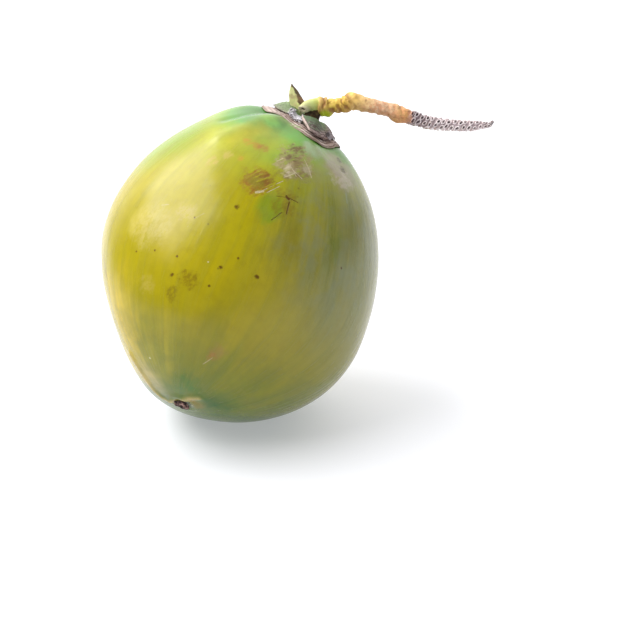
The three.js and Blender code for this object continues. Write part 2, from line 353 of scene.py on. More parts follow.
def distance_to_path(points, path):
    """Shortest distance from each point to a line of places on the skin."""
    stops = np.array([at(*place) for place in path])
    best = np.full(len(points), 1.0)
    for start, end in zip(stops[:-1], stops[1:]):
        along = end - start
        share = np.clip((points - start) @ along / (along @ along), 0, 1)
        gap = np.linalg.norm(points - start - share[:, None] * along, axis=1)
        best = np.minimum(best, gap)
    return best


def fold(points, path, height, width):
    return height * np.exp(-((distance_to_path(points, path) / width) ** 2))


def skin_relief(p):
    relief = 0.45 * MM * wobble(p, 42 * MM, 1) + 0.16 * MM * wobble(p, 14 * MM, 2)
    relief += fold(p, CREST, 0.9 * MM, 4.5 * MM) + fold(p, VALLEY, -0.8 * MM, 3.5 * MM)
    relief += fold(p, TIP_RIDGE, 1.1 * MM, 1.9 * MM)
    scar_gap = np.linalg.norm(p - at(*SCAR_PLACE), axis=1)
    relief -= 1.2 * MM * (1 - smoothstep(scar_gap, 2.5 * MM, 6.5 * MM))
    relief += 0.5 * MM * np.exp(-(((scar_gap - 7.5 * MM) / (2 * MM)) ** 2))
    return relief


# %% Build the husk skin
HUSK_COLUMNS = 340
HUSK_ROWS = 230


def build_husk():
    bm = bmesh.new()
    bmesh.ops.create_uvsphere(bm, u_segments=HUSK_COLUMNS, v_segments=HUSK_ROWS, radius=1)
    bm.verts.index_update()
    ways = read_points(bm)
    ways /= np.linalg.norm(ways, axis=1, keepdims=True)
    skin = on_skin(ways)
    points = fruit_to_room(skin + ways * skin_relief(skin)[:, None])
    points[:, 2] = np.maximum(points[:, 2], 0)
    write_points(bm, points)
    for name, path, width in (("ridge_line", TIP_RIDGE, 1.3 * MM), ("crest_line", CREST, 3.2 * MM),
                              ("valley_line", VALLEY, 4.5 * MM)):
        save_mask(bm, name, fold(skin, path, 1, width))
    return finish_piece("husk_skin", bm, "husk_skin", "husk")


husk_skin = build_husk()

# %% [markdown]
# ## The seat of the stalk
#
# Six scales sit around the stalk like a small flower pressed onto the husk. They are easiest to
# shape in their own frame: its Z axis stands out of the skin and its X axis follows the stalk.
# Heights over the skin come from the husk formula, by halving the span that the skin lies in.

# %% The perianth frame
SEAT = at(3.6, 347)
SEAT_ROOM = fruit_to_room(SEAT)
OUT = FRUIT_TURN @ skin_normal(SEAT)
ALONG = np.array([1.0, 0, 0]) - OUT * OUT[0]
ALONG /= np.linalg.norm(ALONG)
ACROSS = np.cross(OUT, ALONG)
SEAT_TURN = np.stack([ALONG, ACROSS, OUT], 1)


def seat_to_room(p):
    return p @ SEAT_TURN.T + SEAT_ROOM


def skin_height(x, y):
    """Height of the husk in the perianth frame under each x, y."""
    low, high = np.full(x.shape, -30 * MM), np.full(x.shape, 5 * MM)
    for _ in range(30):
        middle = (low + high) / 2
        inside = depth(room_to_fruit(seat_to_room(np.stack([x, y, middle], -1)))) < 1
        low, high = np.where(inside, middle, low), np.where(inside, high, middle)
    return low


def rim_reach(rim, heading):
    """A smooth curve through the reaches listed every 20 degrees around a whorl."""
    rim = np.asarray(rim)
    place = np.mod(heading, 360) / (360 / len(rim))
    step = np.floor(place).astype(int)
    t = place - step
    neighbours = (rim[(step + k) % len(rim)] for k in (-1, 0, 1, 2))
    return curve_between(*neighbours, t) * MM


print("seat in mm:", np.round(SEAT_ROOM / MM, 1))

# %% [markdown]
# ## Petals
#
# The petals are the inner whorl, dry and striped, pressed flat on the husk. A scale could be cut
# from a plane and solidified. Here a grid is extruded into a one-unit block first, and then
# every point of the block is sent to its place by how far across, out and up it is. That way
# the thickness can thin out towards the rim and the edge can fray and curl.

# %% A block that becomes a scale
def unit_block(columns, rows):
    """A closed slab; returns it with how far across, out and up each of its points is."""
    bm = bmesh.new()
    bmesh.ops.create_grid(bm, x_segments=columns, y_segments=rows, size=0.5)
    top = bmesh.ops.extrude_face_region(bm, geom=bm.faces[:])["geom"]
    top = [part for part in top if isinstance(part, bmesh.types.BMVert)]
    bmesh.ops.translate(bm, verts=top, vec=(0, 0, 1))
    bm.verts.index_update()
    points = read_points(bm)
    low, high = points.min(0), points.max(0)
    u, v, w = ((points - low) / (high - low)).T
    layer = bm.loops.layers.uv.new("scale_map")
    for face in bm.faces:
        for loop in face.loops:
            loop[layer].uv = (u[loop.vert.index], v[loop.vert.index])
    return bm, u, v, w


PETAL_RIM = (22.0, 23.2, 25.0, 26.5, 26.5, 25.0, 25.0, 26.0, 27.6,
             27.2, 24.0, 20.8, 20.0, 22.8, 26.2, 24.6, 23.0, 22.2)
COLLAR = 5.4 * MM
GAP = 0.35 * MM
PETAL_THICK = 1.0 * MM


def polar(radius, heading):
    return radius * np.cos(np.radians(heading)), radius * np.sin(np.radians(heading))


def fray(heading, size, amount, seed):
    """Ragged outward and inward steps along a rim."""
    x, y = polar(1.0, heading)
    line = flat_points(x, y)
    coarse, fine = wobble(line, size, seed), wobble(line, size / 4, seed + 5)
    return amount * (0.7 * coarse + 0.5 * fine)


def build_petal(number, heading):
    bm, u, v, w = unit_block(96, 40)
    side = 1 - 2 * u
    here = heading + side * 60
    rim = rim_reach(PETAL_RIM, here) + fray(here, 0.12, 0.55 * MM, number) * v ** 4
    radius = COLLAR + (rim - COLLAR) * v
    half = 60 - np.degrees(np.arcsin(GAP / 2 / radius))
    x, y = polar(radius, heading + side * half)
    flat = flat_points(x, y)
    thick = PETAL_THICK * (1 - 0.7 * v ** 6)
    ribs = 0.13 * MM * np.sin(radius / (1.15 * MM) * 2 * math.pi + 3 * wobble(flat, 7 * MM, 4))
    curl = 2.9 * MM * bump(here, 186, 16) * smoothstep(v, 0.62, 1) ** 2
    lift = 0.25 * MM * (1 + wobble(flat, 6 * MM, 8)) * v ** 6 + curl
    height = skin_height(x, y) + 0.3 * MM + w * thick + ribs * w * smoothstep(v, 0.3, 0.5) + lift
    write_points(bm, seat_to_room(np.stack([x, y, height], -1)))
    return finish_piece(f"petal_scale_{number}", bm, "petal_scale", f"petal_{number}")


petals = [build_petal(k + 1, 275 + 120 * k) for k in range(3)]

# %% [markdown]
# ## Sepals
#
# The sepals are the outer whorl, thicker and still partly green. Each one climbs over its
# neighbour along one edge, so the three close round the stalk like a whorl. The free edge of the
# first one is dry and rolls back, which shows as a pale lip.

# %% Build the sepals
SEPAL_RIM = (14.8, 11.4, 10.4, 11.6, 14.6, 17.4, 19.0, 20.6, 22.4,
             21.4, 15.6, 13.4, 15.4, 20.6, 23.8, 20.8, 18.8, 18.0)
SEPAL_HEADING = 342
SEPAL_SPAN = 125
EDGE_SLANTS = (66, 34, 34)


def near(heading, middle, power):
    """1 at one heading, falling off around it; a high power falls off fast."""
    return np.maximum(0, np.cos(np.radians(heading - middle))) ** power


def sepal_thickness(v, heading):
    cushion = 1.3 + 1.3 * near(heading, 342, 1) - 1.1 * near(heading, 226, 6)
    knee = 1.3 * near(heading, 172, 3) * np.sin(np.pi * v ** 1.5)
    cushion *= 1 - 0.8 * near(heading, 28, 5)
    return (1.2 - 0.85 * v + cushion * np.sin(np.pi * v ** 0.85) + knee) * MM


def build_sepal(number, heading):
    bm, u, v, w = unit_block(120, 46)
    slant = EDGE_SLANTS[number - 1] * (1 - v) * smoothstep(u, 0.5, 1)
    here = heading + 60 - u * SEPAL_SPAN - slant
    rim = rim_reach(SEPAL_RIM, here) + fray(here, 0.1, 0.7 * MM, 20 + number) * v ** 4
    rim += fray(here, 0.06, 1.6 * MM, 31) * near(here, 325, 10) * v ** 3
    if number == 3:
        rim *= 1 - 0.3 * near(here, 274, 8)
    radius = COLLAR + (rim - COLLAR) * v
    x, y = polar(radius, here)
    flat = flat_points(x, y)
    thick = sepal_thickness(v, here)
    climb = (thick * (1 - 0.35 * v) + 0.25 * MM) * (1 - smoothstep(here - heading, -58, -24))
    climb *= 1 - 0.8 * near(here, 28, 5)
    hug = 1.5 * MM * (1 - v) ** 2 * near(here, 10, 1)
    creases = 0.16 * MM * wobble(np.stack([x, y, here * MM * 2], -1), 3.2 * MM, 30)
    ribs = 0.10 * MM * np.sin(radius / (1.3 * MM) * 2 * math.pi + 4 * wobble(flat, 6 * MM, 9))
    lip = bump(u, 0.985, 0.022) * (0.25 + 0.75 * v) * (1 if number == 1 else 0.2)
    lift = 0.35 * MM * (1 + wobble(flat, 5 * MM, 12)) * v ** 5 + 0.7 * MM * lip
    lift += 0.2 * MM * near(here, 168, 4) * smoothstep(v, 0.3, 0.8)
    lift += 0.9 * MM * near(here, 325, 10) * wobble(flat, 2.6 * MM, 17) * smoothstep(v, 0.6, 1)
    top = (creases + ribs * smoothstep(v, 0.4, 0.7)) * w
    height = skin_height(x, y) + 1.55 * MM + climb + w * (thick + hug) + top + lift
    write_points(bm, seat_to_room(np.stack([x, y, height], -1)))
    return finish_piece(f"sepal_scale_{number}", bm, "sepal_scale", f"sepal_{number}")


sepals = [build_sepal(k + 1, SEPAL_HEADING + 120 * k) for k in range(3)]

# %% [markdown]
# ## The stalk
#
# The stalk is the flower spike that the fruit hung from. Its male flowers have dropped and left
# knobs, and the grey tail is covered in slanting flower scars. A cylinder with many rings is
# bent along a line of stations, and a relief formula works on how far along and how far around
# each point is. The same two numbers go into a map on the mesh, for colouring.

# %% The line of the stalk
# Stations in mm from the seat: along X, along Y, up, radius.
STALK = np.array([
    (-2.6, -2.1, 9.1, 2.5), (0.7, 0.0, 10.6, 3.4), (5.2, 1.2, 11.1, 3.6), (8.6, 1.2, 10.4, 4.2),
    (11.0, 1.0, 10.0, 4.1), (14.4, 0.6, 10.5, 3.6), (19.5, 0.2, 11.4, 3.9), (24.5, -0.4, 13.0, 4.2),
    (29.0, -0.5, 12.6, 3.9), (34.5, -0.5, 10.9, 3.8), (43.0, -0.3, 9.2, 3.5), (50.7, 0.0, 6.3, 4.1),
    (59.3, 0.4, 3.4, 3.4), (68.6, 0.8, 0.8, 3.2), (79.5, 0.8, -0.4, 2.8), (88.7, 0.3, -0.8, 2.6),
    (95.4, 0.0, -0.3, 2.0), (101.0, -0.2, 0.0, 1.2), (103.4, -0.4, 2.1, 0.7)]) * MM


def spline(stations, count):
    """A smooth line through the stations, sampled at even steps of its length."""
    padded = np.vstack([2 * stations[0] - stations[1], stations, 2 * stations[-1] - stations[-2]])
    fine = []
    for k in range(len(stations) - 1):
        t = np.linspace(0, 1, 60, endpoint=False)[:, None]
        fine.append(curve_between(*padded[k:k + 4], t))
    fine = np.vstack(fine + [stations[-1:]])
    run = np.concatenate([[0], np.cumsum(np.linalg.norm(np.diff(fine[:, :3], axis=0), axis=1))])
    even = np.linspace(0, run[-1], count)
    return np.stack([np.interp(even, run, fine[:, k]) for k in range(4)], -1), run[-1]


def ringed_tube(columns, rings, closed):
    """A tube of one unit, cut into that many rings along its length."""
    bm = bmesh.new()
    bmesh.ops.create_cone(bm, cap_ends=closed, segments=columns, radius1=1, radius2=1, depth=1)
    uprights = [edge for edge in bm.edges if abs(edge.verts[0].co.z - edge.verts[1].co.z) > 0.5]
    bmesh.ops.subdivide_edges(bm, edges=uprights, cuts=rings - 1, use_grid_fill=True)
    bm.verts.index_update()
    return bm


RINGS = 620
STALK_LINE, STALK_LENGTH = spline(STALK, RINGS + 1)
print("stalk length in mm:", round(STALK_LENGTH / MM, 1))

# %% Relief on the stalk
# Big swellings: mm along, degrees around (0 up, 90 front, 180 under), height, width.
SWELLINGS = ((12.0, 10, 0.45, 2.4), (13.8, 165, 1.35, 2.7), (17.8, 60, -0.45, 1.8),
             (24.8, 180, 0.55, 2.6), (29.3, 0, 1.0, 3.0), (34.0, 170, 0.35, 2.4),
             (40.0, 20, 0.35, 2.2), (46.0, 180, 0.35, 2.6), (52.3, 15, 0.65, 2.6),
             (56.0, 165, 1.15, 3.6), (61.0, 10, 0.45, 1.8))
KNOB_COUNT = 74
SCAR_ROWS = 6
SCARS_IN_ROW = 15
SCAR_PITCH = 3.2
GOLDEN_TURN = 137.5  # degrees from one knob to the next, as buds grow


KNOB_RADIUS = 3.8
TAIL_RADIUS = 2.9


def turned_by(around, degrees):
    """Angle from a heading on the stalk, the short way round."""
    return np.angle(np.exp(1j * (around - np.radians(degrees))))


def swelling(s, around, place, degrees, height, width):
    """A round swelling on the stalk, as wide as it is long."""
    across = turned_by(around, degrees) * KNOB_RADIUS
    return height * np.exp(-((s - place) ** 2 + across ** 2) / width ** 2)


def flower_scar(s, around, place, degrees, slant, size):
    """How far a point is from the middle of a slanting scar; the scar's rim is at 1."""
    across = turned_by(around, degrees) * TAIL_RADIUS
    fore = (s - place) * math.cos(slant) + across * math.sin(slant)
    side = across * math.cos(slant) - (s - place) * math.sin(slant)
    return np.hypot(fore / (0.85 * size), side / (1.5 * size))


def stalk_relief(s, around):
    """Height in mm over the plain tube, and masks of raised places and of hollows."""
    rng = np.random.default_rng(11)
    tube = np.stack([s * 0.9, KNOB_RADIUS * np.cos(around), KNOB_RADIUS * np.sin(around)], -1)
    rough, fine = wobble(tube, 2.6, 3), wobble(tube, 0.9, 6)
    tail = smoothstep(s, 60.5, 63)
    knobby = smoothstep(s, 8.8, 9.6) * (1 - tail)
    knobs = np.zeros_like(s)
    for k in range(KNOB_COUNT):
        place = 9.6 + 0.69 * k + rng.uniform(-0.4, 0.4)
        size = rng.uniform(0.25, 0.62) * (1.15 if place < 36 else 0.75)
        knobs = np.maximum(knobs, swelling(s, around, place, GOLDEN_TURN * k, size, 1.9))
    ropes = np.sin(2 * np.pi * (s / 4.0 - around / np.pi) + 2.2 * rough)
    ropes *= 0.30 - 0.20 * smoothstep(s, 26, 32)
    rims, hollows = np.zeros_like(s), np.zeros_like(s)
    for row in range(SCAR_ROWS):
        for k in range(SCARS_IN_ROW):
            place = 62.6 + SCAR_PITCH * (k + 0.5 * (row % 2)) + rng.uniform(-0.5, 0.5)
            slant, size = rng.uniform(0.3, 1.0), rng.uniform(0.75, 1.1)
            degrees = 360 / SCAR_ROWS * row + 40 + rng.uniform(-12, 12)
            gap = flower_scar(s, around, place, degrees, slant, size)
            deep = rng.uniform(0.3, 1.0)
            rims = np.maximum(rims, bump(gap, 1.0, 0.36))
            hollows = np.maximum(hollows, deep * (1 - smoothstep(gap, 0.50, 0.92)))
    taper = 1 - 0.55 * smoothstep(s, 98, 111)
    height = knobby * (knobs + ropes + 0.25 * rough) + 0.07 * fine
    height += tail * (0.95 * rims - 0.5 * hollows - 0.2 + 0.25 * rough) * taper
    height += 0.35 * bump(s, 10.2, 1.0) * knobby
    for bulge in SWELLINGS:
        height += swelling(s, around, *bulge)
    raised = knobby * np.clip(knobs / 0.45 + 1.2 * ropes, 0, 1) + tail * rims
    return height, np.clip(raised, 0, 1), tail * hollows


# %% Build the stalk
def build_stalk():
    bm = ringed_tube(72, RINGS, closed=False)
    unit = read_points(bm)
    share = unit[:, 2] + 0.5
    around = np.arctan2(unit[:, 1], unit[:, 0])
    ring = np.rint(share * RINGS).astype(int)
    middle, radius = STALK_LINE[ring, :3], STALK_LINE[ring, 3]
    ahead = np.gradient(STALK_LINE[:, :3], axis=0)
    ahead /= np.linalg.norm(ahead, axis=1, keepdims=True)
    front = np.cross(ahead, [0, 0, 1.0])
    front /= np.linalg.norm(front, axis=1, keepdims=True)
    up = np.cross(front, ahead)
    s = share * STALK_LENGTH / MM
    height, raised, hollow = stalk_relief(s, around)
    radius = radius + height * MM
    points = (middle + up[ring] * (radius * np.cos(around))[:, None]
              + front[ring] * (radius * np.sin(around))[:, None])
    cut = (0.5 * np.sin(around) - 0.3 * np.cos(around)) * radius * (1 - smoothstep(s, 0, 6))
    points += ahead[ring] * cut[:, None]
    write_points(bm, points + SEAT_ROOM)
    layer = bm.loops.layers.uv.new("stalk_map")
    save_mask(bm, "raised", raised)
    save_mask(bm, "hollow", hollow)
    for face in bm.faces:
        turns = [around[loop.vert.index] / (2 * math.pi) for loop in face.loops]
        wrap = max(turns) - min(turns) > 0.5
        for loop, turn in zip(face.loops, turns):
            loop[layer].uv = (share[loop.vert.index], turn + (1 if wrap and turn < 0 else 0))
    close_ends(bm)
    return finish_piece("stalk_bark", bm, "stalk_bark", "stalk")


def close_ends(bm):
    """Caps the torn end with a rim and a sunken pith, and closes the tail."""
    rims = bmesh.ops.holes_fill(bm, edges=[e for e in bm.edges if e.is_boundary], sides=0)["faces"]
    torn = min(rims, key=lambda face: face.calc_center_median().x)
    torn.material_index = 1
    for thickness, sink in ((0.4 * MM, -0.1 * MM), (1.0 * MM, 0.2 * MM), (0.2 * MM, 0.7 * MM)):
        ring = bmesh.ops.inset_individual(bm, faces=[torn], thickness=thickness, depth=-sink)
        for face in ring["faces"]:
            face.material_index = 1
    torn.material_index = 2


stalk_bark = build_stalk()

# %% [markdown]
# ## The foot of the stalk
#
# Below the torn end the stalk turns down into the whorl of scales. It is a short fibrous neck,
# shaded and brown, and its brown is painted darker still as shade under the stalk. A cone is
# ringed with cuts and fluted, and flares where it grows into the husk.

# %% Build the foot
FOOT_BOTTOM = 1.4 * MM
FOOT_TOP = 9.8 * MM


def build_foot():
    bm = ringed_tube(60, 25, closed=True)
    unit = read_points(bm)
    rise, around = unit[:, 2] + 0.5, np.arctan2(unit[:, 1], unit[:, 0])
    flutes = 0.16 * np.sin(11 * around + 2 * rise) + 0.1 * np.sin(17 * around - 3 * rise)
    radius = (5.1 - 1.0 * smoothstep(rise, 0, 0.6) + flutes) * MM
    height = FOOT_BOTTOM + (FOOT_TOP - FOOT_BOTTOM) * rise
    local = np.stack([radius * np.cos(around), radius * np.sin(around), height], -1)
    write_points(bm, seat_to_room(local))
    return finish_piece("stalk_foot", bm, "stalk_bark", "stalk")


stalk_foot = build_foot()

# %% [markdown]
# ## The bract
#
# One pointed scale stands up behind the torn end. It is a stiff little leaf: cupped, with a
# ridge down its middle and a dry margin that folds over on one side.

# %% Build the bract
BRACT_FOOT = np.array([-4.7, 4.4, 10.0]) * MM
BRACT_TIP = np.array([-8.9, 5.2, 21.8]) * MM


def build_bract():
    bm, u, v, w = unit_block(40, 60)
    side = 2 * u - 1
    rise = 1.24 * v - 0.24
    free = np.clip(1 - rise, 0, 1)
    half = (0.25 + 5.2 * free + 0.7 * np.sin(np.pi * np.clip(rise, 0, 1))) * MM
    line = flat_points(side * 2, v * 6)
    ragged = 0.35 * MM * wobble(line, 0.5, 41) * np.abs(side) ** 3
    ridge = 0.35 * MM * bump(side, 0, 0.12) * free
    folded = 1.1 * MM * smoothstep(side, 0.45, 1.0) * (1 - v ** 3)
    cup = 1.5 * MM * side * side * free
    thick = 1.1 * MM * (1 - 0.5 * v) * (1 - 0.6 * np.abs(side) ** 4)
    slant = -0.5 * side * half * free
    veins = 0.05 * MM * np.sin(side * 26) * (w - 0.5)
    middle = BRACT_FOOT + (BRACT_TIP - BRACT_FOOT) * rise[:, None]
    offset = np.stack([side * half + ragged, -cup - folded - w * thick - ridge * w + veins,
                       slant + 0.3 * MM * wobble(line, 1.3, 44) * np.abs(side) ** 2], -1)
    write_points(bm, middle + offset + SEAT_ROOM)
    return finish_piece("bract_scale", bm, "bract_scale", "bract")


bract_scale = build_bract()

# %% [markdown]
# ## Dry flakes and torn flaps
#
# Old sap and dead skin dry to a silvery crust beside the torn end, and the dome of the first
# sepal has a ragged flap that lifts. Each flake is a ragged little disc: a circle, extruded for
# its thickness, with its rim pushed in and out by a seeded draw, then curled and set down on
# the sepals.

# %% Build the crust flakes
SEPAL_LIFT = 1.65 * MM
FLAKE_COUNT = 60
FLAKE_CORNERS = 11
FLAKE_THICK = 0.22 * MM
CRUST_HEADINGS = (186, 257)


def sepal_top(x, y):
    """Height of the sepals' upper side in the perianth frame, near enough for small things."""
    heading = np.degrees(np.arctan2(y, x))
    reach = rim_reach(SEPAL_RIM, heading)
    v = np.clip((np.hypot(x, y) - COLLAR) / (reach - COLLAR), 0, 1)
    return skin_height(x, y) + SEPAL_LIFT + sepal_thickness(v, heading)


def add_flake(bm, rng, heading, radius, size, tilt):
    """One curled flake, standing on the sepals at a heading and a distance from the stalk."""
    start = len(bm.verts)
    bmesh.ops.create_circle(bm, cap_ends=True, segments=FLAKE_CORNERS, radius=1)
    bm.verts.ensure_lookup_table()
    bm.faces.ensure_lookup_table()
    for vert in bm.verts[start:]:
        vert.co *= size * rng.uniform(0.65, 1.15)
    top = bmesh.ops.extrude_face_region(bm, geom=[bm.faces[-1]])["geom"]
    top = [part for part in top if isinstance(part, bmesh.types.BMVert)]
    bmesh.ops.translate(bm, verts=top, vec=(0, 0, FLAKE_THICK))
    bm.verts.ensure_lookup_table()
    local = np.array([v.co for v in bm.verts[start:]])
    local[:, 0] *= 0.7
    local[:, 2] += 60 * local[:, 1] ** 2
    tip, spin = math.radians(tilt), rng.uniform(0, 2 * math.pi)
    local = local @ turn_matrix(tip, spin).T
    x, y = polar(np.array([radius]), heading)
    local += np.array([x[0], y[0], sepal_top(x, y)[0] + 0.3 * MM])
    for vert, point in zip(bm.verts[start:], seat_to_room(local)):
        vert.co = point


def build_crust():
    bm = bmesh.new()
    rng = np.random.default_rng(7)
    for _ in range(FLAKE_COUNT):
        heading = rng.uniform(*CRUST_HEADINGS)
        radius = (10.2 + (heading - CRUST_HEADINGS[0]) * 0.095 + rng.uniform(-1.7, 1.7)) * MM
        add_flake(bm, rng, heading, radius, rng.uniform(0.6, 1.25) * MM, rng.uniform(0, 40))
    return finish_piece("crust_flakes", bm, "sepal_scale", "sepal_3")


crust_flakes = build_crust()

# %% [markdown]
# ## The dried stigma
#
# Near the tip sits what is left of the flower's stigma: a black, crumbly button with three
# lobes, in a shallow dimple. A sphere is flattened, lobed and roughened with two sizes of noise.

# %% Build the stigma
SCAR = at(*SCAR_PLACE)
SCAR_OUT = FRUIT_TURN @ skin_normal(SCAR)
SCAR_ACROSS = np.cross(SCAR_OUT, [0, 0, 1.0])
SCAR_ACROSS /= np.linalg.norm(SCAR_ACROSS)
SCAR_TURN = np.stack([SCAR_ACROSS, np.cross(SCAR_OUT, SCAR_ACROSS), SCAR_OUT], 1)
STIGMA_RADIUS = 4.2 * MM
STIGMA_THICK = 3.0 * MM


def build_stigma():
    bm = bmesh.new()
    bmesh.ops.create_uvsphere(bm, u_segments=72, v_segments=40, radius=1)
    unit = read_points(bm)
    around = np.arctan2(unit[:, 1], unit[:, 0])
    spread = np.hypot(unit[:, 0], unit[:, 1])
    lobes = 1 + 0.14 * spread * np.cos(3 * around)
    crumbs = 1 + 0.16 * wobble(unit, 0.35, 51) + 0.07 * wobble(unit, 0.12, 52)
    hollow = 0.45 * np.exp(-((spread / 0.35) ** 2)) * (unit[:, 2] > 0)
    flat = unit[:, :2] * (STIGMA_RADIUS * lobes * crumbs)[:, None]
    height = -0.9 * MM + STIGMA_THICK * ((unit[:, 2] + 1) / 2 - hollow) * crumbs
    local = np.column_stack([flat, height])
    write_points(bm, local @ SCAR_TURN.T + fruit_to_room(SCAR))
    return finish_piece("stigma_scar", bm, "dried_stigma", "stigma")


stigma_scar = build_stigma()

# %% [markdown]
# ## Helpers for materials
#
# Materials are written as node trees. A few small helpers keep them readable: one adds a node
# and fills or links its inputs, one tints a colour through a mask, and one turns an ordinary
# screen colour into the linear numbers that a shader works with. The same trees could be wired
# by hand in the editor, but then no loop could lay down thirty marks.

# %% Node helpers
PAINT_SHARE = 0.80  # the room is lit a little over white, so paint is taken down by as much


def linear(*screen):
    """Screen colour as linear red, green, blue and 1; the palest paint goes a little over 255."""
    return tuple(PAINT_SHARE * ((c / 255 + 0.055) / 1.055) ** 2.4 for c in screen) + (1.0,)


def add(tree, kind, *inputs, out=0, **settings):
    """Adds a node, sets its options, fills its inputs in order, and returns one output."""
    node = tree.nodes.new("ShaderNode" + kind)
    for name, value in settings.items():
        setattr(node, name, value)
    for place, value in enumerate(inputs):
        put(tree, node.inputs[place], value)
    return node.outputs[out]


def put(tree, socket, value):
    if value is None:
        return
    if isinstance(value, bpy.types.NodeSocket):
        tree.links.new(value, socket)
    else:
        socket.default_value = value


def calc(tree, operation, *inputs, clamp=False):
    return add(tree, "Math", *inputs, operation=operation, use_clamp=clamp)


def vector_calc(tree, operation, *inputs, out=0):
    return add(tree, "VectorMath", *inputs, operation=operation, out=out)


def ease(tree, value, low, high, to_low=0.0, to_high=1.0):
    """A smooth step from one value to another."""
    node = tree.nodes.new("ShaderNodeMapRange")
    node.interpolation_type = "SMOOTHSTEP"
    for name, number in (("Value", value), ("From Min", low), ("From Max", high),
                         ("To Min", to_low), ("To Max", to_high)):
        put(tree, node.inputs[name], number)
    return node.outputs["Result"]


def mix(tree, factor, first, second):
    node = tree.nodes.new("ShaderNodeMix")
    node.data_type = "RGBA"
    for place, value in ((0, factor), (6, first), (7, second)):
        put(tree, node.inputs[place], value)
    return node.outputs[2]


def tint(tree, colour, shade, mask, strength=None):
    """Mixes a screen colour over another by a mask, made weaker where a strength is given."""
    if strength is not None:
        mask = calc(tree, "MULTIPLY", mask, strength)
    return mix(tree, mask, colour, linear(*shade))


def grain(tree, vector, scale, detail=3.0, roughness=0.55, distortion=0.0):
    node = tree.nodes.new("ShaderNodeTexNoise")
    for name, value in (("Vector", vector), ("Scale", scale), ("Detail", detail),
                        ("Roughness", roughness), ("Distortion", distortion)):
        put(tree, node.inputs[name], value)
    return node.outputs["Fac"]


def ramp(tree, value, *stops):
    """Colours at places from 0 to 1."""
    node = tree.nodes.new("ShaderNodeValToRGB")
    put(tree, node.inputs[0], value)
    elements = node.color_ramp.elements
    while len(elements) < len(stops):
        elements.new(0.5)
    for element, (place, colour) in zip(elements, sorted(stops)):
        element.position = place
        element.color = linear(*colour)
    return node.outputs["Color"]


# %% [markdown]
# ## Shared effects
#
# Marks of the same kind turn up on several pieces, so each kind is a node group: a soft patch,
# a scratch, random specks, and streaks that run along the fruit. A group gives out only a mask
# from 0 to 1, and the material that uses it decides on the colour and the height.

# %% Build the node groups
def new_group(name, inputs):
    """A node group with one Mask output; inputs are (name, kind, value)."""
    group = bpy.data.node_groups.new(name, "ShaderNodeTree")
    for label, kind, value in inputs:
        socket = group.interface.new_socket(label, in_out="INPUT", socket_type="NodeSocket" + kind)
        if value is not None:
            socket.default_value = value
    group.interface.new_socket("Mask", in_out="OUTPUT", socket_type="NodeSocketFloat")
    given = group.nodes.new("NodeGroupInput").outputs
    result = group.nodes.new("NodeGroupOutput").inputs[0]
    return group, given, result


def make_patch_group():
    """A ragged patch around a middle point. Stretch draws it and its edge out along Z."""
    group, given, result = new_group("ragged_patch", (
        ("Place", "Vector", None), ("Middle", "Vector", None), ("Reach", "Float", 0.01),
        ("Softness", "Float", 0.004), ("Ragged", "Float", 0.003), ("Grain", "Float", 200.0),
        ("Stretch", "Float", 1.0)))
    squeeze = add(group, "CombineXYZ", 1.0, 1.0, calc(group, "DIVIDE", 1.0, given["Stretch"]))
    gap = vector_calc(group, "SUBTRACT", given["Place"], given["Middle"])
    gap = vector_calc(group, "LENGTH", vector_calc(group, "MULTIPLY", gap, squeeze), out=1)
    squeezed = vector_calc(group, "MULTIPLY", given["Place"], squeeze)
    noise_value = grain(group, squeezed, given["Grain"], 4.0, 0.6)
    waver = calc(group, "MULTIPLY", calc(group, "SUBTRACT", noise_value, 0.5), given["Ragged"])
    gap = calc(group, "MULTIPLY_ADD", waver, 2.0, gap)
    outer = calc(group, "ADD", given["Reach"], given["Softness"])
    inner = calc(group, "SUBTRACT", given["Reach"], given["Softness"])
    group.links.new(ease(group, gap, inner, outer, 1.0, 0.0), result)
    return group


def make_scratch_group():
    """A straight scratch between two points, thinning where the skin is uneven."""
    group, given, result = new_group("scratch", (
        ("Place", "Vector", None), ("Start", "Vector", None), ("End", "Vector", None),
        ("Width", "Float", 0.0005)))
    along = vector_calc(group, "SUBTRACT", given["End"], given["Start"])
    from_start = vector_calc(group, "SUBTRACT", given["Place"], given["Start"])
    share = calc(group, "DIVIDE", vector_calc(group, "DOT_PRODUCT", from_start, along, out=1),
                 vector_calc(group, "DOT_PRODUCT", along, along, out=1), clamp=True)
    node = group.nodes.new("ShaderNodeVectorMath")
    node.operation = "SCALE"
    group.links.new(along, node.inputs[0])
    group.links.new(share, node.inputs["Scale"])
    gap = vector_calc(group, "DISTANCE", from_start, node.outputs[0], out=1)
    waver = calc(group, "SUBTRACT", grain(group, given["Place"], 520.0, 3.0), 0.5)
    gap = calc(group, "MULTIPLY_ADD", waver, calc(group, "MULTIPLY", given["Width"], 2.2), gap)
    outer = calc(group, "MULTIPLY", given["Width"], 1.6)
    group.links.new(ease(group, gap, given["Width"], outer, 1.0, 0.0), result)
    return group


def make_speck_group():
    """Random round specks, one in every few cells."""
    group, given, result = new_group("specks", (
        ("Place", "Vector", None), ("Scale", "Float", 100.0), ("Size", "Float", 0.15),
        ("Share", "Float", 0.2)))
    cells = group.nodes.new("ShaderNodeTexVoronoi")
    group.links.new(given["Place"], cells.inputs["Vector"])
    group.links.new(given["Scale"], cells.inputs["Scale"])
    chosen = calc(group, "LESS_THAN",
                  add(group, "SeparateColor", cells.outputs["Color"]), given["Share"])
    edge = calc(group, "MULTIPLY", given["Size"], 0.4)
    spot = ease(group, cells.outputs["Distance"], edge, given["Size"], 1.0, 0.0)
    group.links.new(calc(group, "MULTIPLY", chosen, spot), result)
    return group


